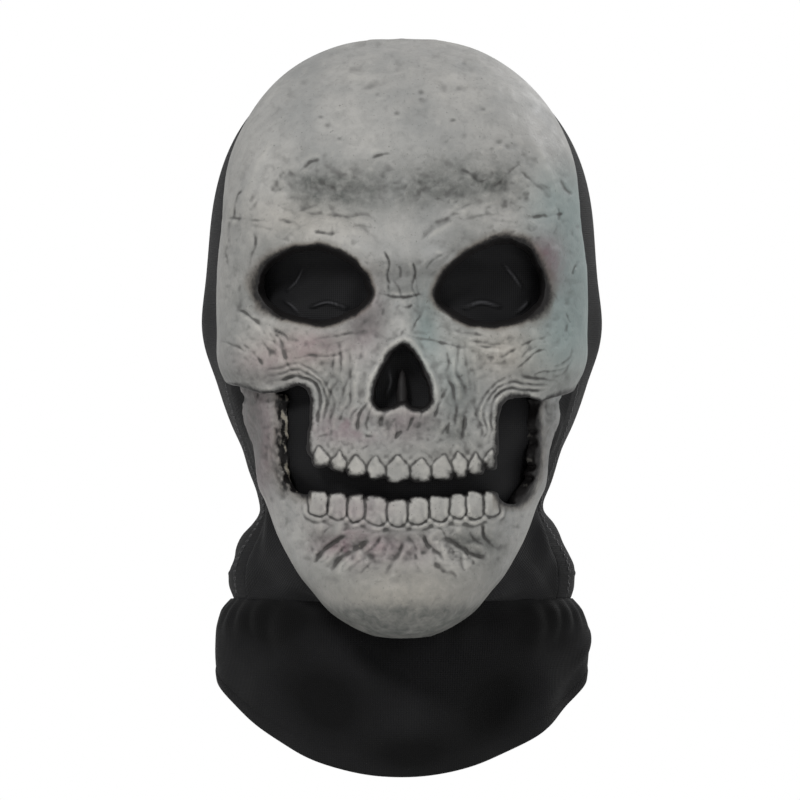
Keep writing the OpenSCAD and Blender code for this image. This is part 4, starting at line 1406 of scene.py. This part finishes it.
def cast_place(z, turn, off):
    """A point of the jaw's smooth face at a height. A turn of 90 degrees is its right rim."""
    z = z + 0 * turn
    wide, rim, deep = cast_section(z)
    tuck = 4.2 * ease((z + 48) / 14)
    s, c = np.sin(turn), np.cos(turn)
    sx = np.sign(s) * np.abs(s) ** (2 / RING_ROUND)
    cy = np.abs(c) ** (2 / RING_ROUND)
    low = np.where(z < -100, -100 + (z + 100) * (42.5 + off) / 42.5, z)
    x, y = (np.maximum(wide + off, 0.3) - tuck) * sx, rim - (np.maximum(deep + off, 0.6) - tuck) * cy
    return np.stack([x, y, low], -1)


def edge_turn(z):
    return np.arccos((HOOD_MID(z) - HOOD_EDGE(z) + 0.6) / (HOOD_MID(z) - HOOD_FORE(z)))


across = np.linspace(-1, 1, 201)[None, :]
t = np.abs(across)
sign = np.where(across < 0, -1.0, 1.0)
UNDER_CHIN = 0.42    # share of the gusset's length that runs level, in front of the neck
seam_z = np.where(t > UNDER_CHIN, -125 + 117 * (t - UNDER_CHIN) / (1 - UNDER_CHIN), -125.0)
level_turn = edge_turn(np.array(-125.0)) * t / UNDER_CHIN
seam_line = neck_ring(seam_z, sign * np.where(t > UNDER_CHIN, edge_turn(seam_z), level_turn), 0.0)
jaw_z = -142.3 + 134.3 * t**1.25
inside = -LATEX_T - 3.2
rim_line, end_line = (cast_place(jaw_z, sign * math.radians(turn), inside) for turn in (90, 83))
part = np.linspace(2, 0, 48)[:, None, None]
to_rim = seam_line + (rim_line - seam_line) * part
past_rim = rim_line + (end_line - rim_line) * (part - 1)
grid = np.where(part < 1, to_rim, past_rim)
down = part[..., 0]
crinkle = 0.7 * np.sin(down * 9 + 3 * across) * bump(down - 0.5, 0.4) * ease((0.9 - t) / 0.3)
crinkle = crinkle + 0.5 * np.sin(across * 46) * bump(down - 0.35, 0.3)
grid = grid + normals_of(grid) * crinkle[..., None]
gusset = cloth("chin_gusset_knit", grid, KNIT_T, u=across * 150, v=down * 22)
dress(gusset, KNIT, body=None, nodes=["chin_gusset"])
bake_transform(gusset)

# ---------------------------------------------------------------- gauze


def gauze_disc(name, outline, middle, y_at, creases, nodes):
    """Gauze glued behind an opening, dished a little and creased."""
    middle = np.array(middle)
    away = outline - middle
    grown = 1 + 2.4 / np.linalg.norm(away, axis=1, keepdims=True)
    share = np.linspace(1, 0, 46)[:, None, None]
    flat = middle + (away * grown)[None] * share
    x, z = flat[..., 0], flat[..., 1]
    y = y_at(x, z) + 0.4 + 3.0 * (1 - share[..., 0] ** 2)
    y = y + 0.4 * np.sin(x / 3.1 + 1.2 * np.sin(z / 4.3)) * (1 - share[..., 0] ** 4)
    painted_light = np.zeros(x.shape)
    for line, height, width in creases:
        distance, along, _ = to_line(curve_through(line), x, z)
        y = y - height * bump(distance, width)
        fade = ease(along / 0.4) * ease((1 - along) / 0.4)
        # painted glint along each crease
        painted_light = np.maximum(painted_light, bump(distance, width * 0.4) * fade)
    grid = np.stack([x, y, z], -1)
    piece = cloth(name, grid, GAUZE_T, around=True, u=x, v=z, extra=painted_light, disc=True)
    dress(piece, GAUZE, nodes=nodes)
    return piece


def y_reader(block, field, level):
    """Where a field first reaches a level along +Y, as a function of x and z."""
    inside = field < level
    first = np.clip(inside.argmax(1), 1, len(block.y) - 1)
    a = np.take_along_axis(field, first[:, None, :] - 1, 1)[:, 0]
    b = np.take_along_axis(field, first[:, None, :], 1)[:, 0]
    y = block.y[first - 1] + VOXEL * np.clip((a - level) / np.maximum(a - b, 1e-6), 0, 1)

    return lambda x, z: between(y, (x - block.x[0]) / VOXEL, (z - block.z[0]) / VOXEL)


gauze_y = y_reader(skull_made[0], skull_made[2], -10.3)
eye_gauze_left = gauze_disc(
    "eye_gauze_left", EYE_LEFT, (-39, 15), gauze_y,
    [([(-51, 13), (-47, 17), (-44, 23)], 1.0, 0.7), ([(-40, 5.5), (-33, 7.5), (-25, 5)], 1.4, 0.9),
     ([(-52, 8), (-49, 6), (-46, 2.5)], 1.0, 0.8)],
    ["eye_mesh_left"])
eye_gauze_right = gauze_disc(
    "eye_gauze_right", EYE_RIGHT, (40, 16), gauze_y,
    [([(45, 25), (49, 20), (53, 14)], 1.0, 0.7), ([(28, 5), (35, 7.5), (43, 5.5)], 1.4, 0.9),
     ([(56, 8), (54, 5.5), (51, 3)], 1.0, 0.8)],
    ["eye_mesh_right"])
nose_gauze = gauze_disc(
    "nose_gauze", NOSE, (0, -30), gauze_y, [([(-6, -22), (-5, -28), (-7, -34)], 0.4, 1.2)], ["nose_mesh"])

turn = np.radians(np.linspace(-78, 78, 200))[None, :]
flat_x = cast_place(np.array(-60.0), turn, -8.0)[..., 0]
high = -26 - 24 * ease((30 - np.abs(flat_x)) / 10)
z = high + (-97 - high) * np.linspace(0, 1, 80)[:, None]
grid = cast_place(z, turn + 0 * z, -8.0)
sway = 0.9 * np.sin(flat_x / 6.3 + z / 9) + 0.7 * np.sin(z / 4.1 + 1.5 * np.sin(flat_x / 11))
grid = grid + normals_of(grid) * (sway * bump(z + 66, 24))[..., None]
mouth_gauze = cloth("mouth_gauze", grid, GAUZE_T, u=grid[..., 0], v=grid[..., 2])
dress(mouth_gauze, GAUZE, body=None, nodes=["mouth_mesh"])
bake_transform(mouth_gauze)

# ---------------------------------------------------------------- studio

scene = bpy.context.scene
scene.view_settings.view_transform = "Standard"
world = bpy.data.worlds.new("studio")
scene.world = world
world.use_nodes = True
world.node_tree.nodes["Background"].inputs["Color"].default_value = (1.0, 1.0, 1.0, 1)
world.node_tree.nodes["Background"].inputs["Strength"].default_value = 1.0


def area_light(name, place, aim, size, power):
    data = bpy.data.lights.new(name, "AREA")
    data.shape = "DISK"
    data.size = size
    data.energy = power
    lamp = bpy.data.objects.new(name, data)
    lamp.location = place
    lamp.rotation_euler = (Vector(aim) - Vector(place)).to_track_quat("-Z", "Y").to_euler()
    scene.collection.objects.link(lamp)


area_light("key", (-0.65, -1.2, 0.95), (0, 0, -0.02), 0.4, 27)
area_light("fill", (0.9, -1.1, 0.1), (0, 0, 0), 0.8, 6)
area_light("rim", (0.8, 1.0, 0.8), (0, 0, 0), 0.6, 12)

FLOOR_Z, FLOOR_HALF = -0.3, 1.2
corners = [(x * FLOOR_HALF, y * FLOOR_HALF, FLOOR_Z) for x, y in ((-1, -1), (1, -1), (1, 1), (-1, 1))]
floor = new_mesh("floor", corners, [(0, 1, 2, 3)])
floor_shade = Shade("pale_floor", Roughness=0.8)
floor.data.materials.append(floor_shade.finish(
    floor_shade.mix(floor_shade.noise(400, 2), (0.80, 0.80, 0.79), (0.84, 0.84, 0.83)),
    floor_shade.bump(floor_shade.noise(3, 3), 0.05, 0.2)))

camera_data = bpy.data.cameras.new("camera")
camera_data.lens = 800
camera_data.sensor_width = 36
camera_data.clip_end = 50
camera = bpy.data.objects.new("camera", camera_data)
camera.location = (-0.0009, -8.0, -0.036)
camera.rotation_euler = (math.radians(90), 0, 0)
scene.collection.objects.link(camera)
scene.camera = camera
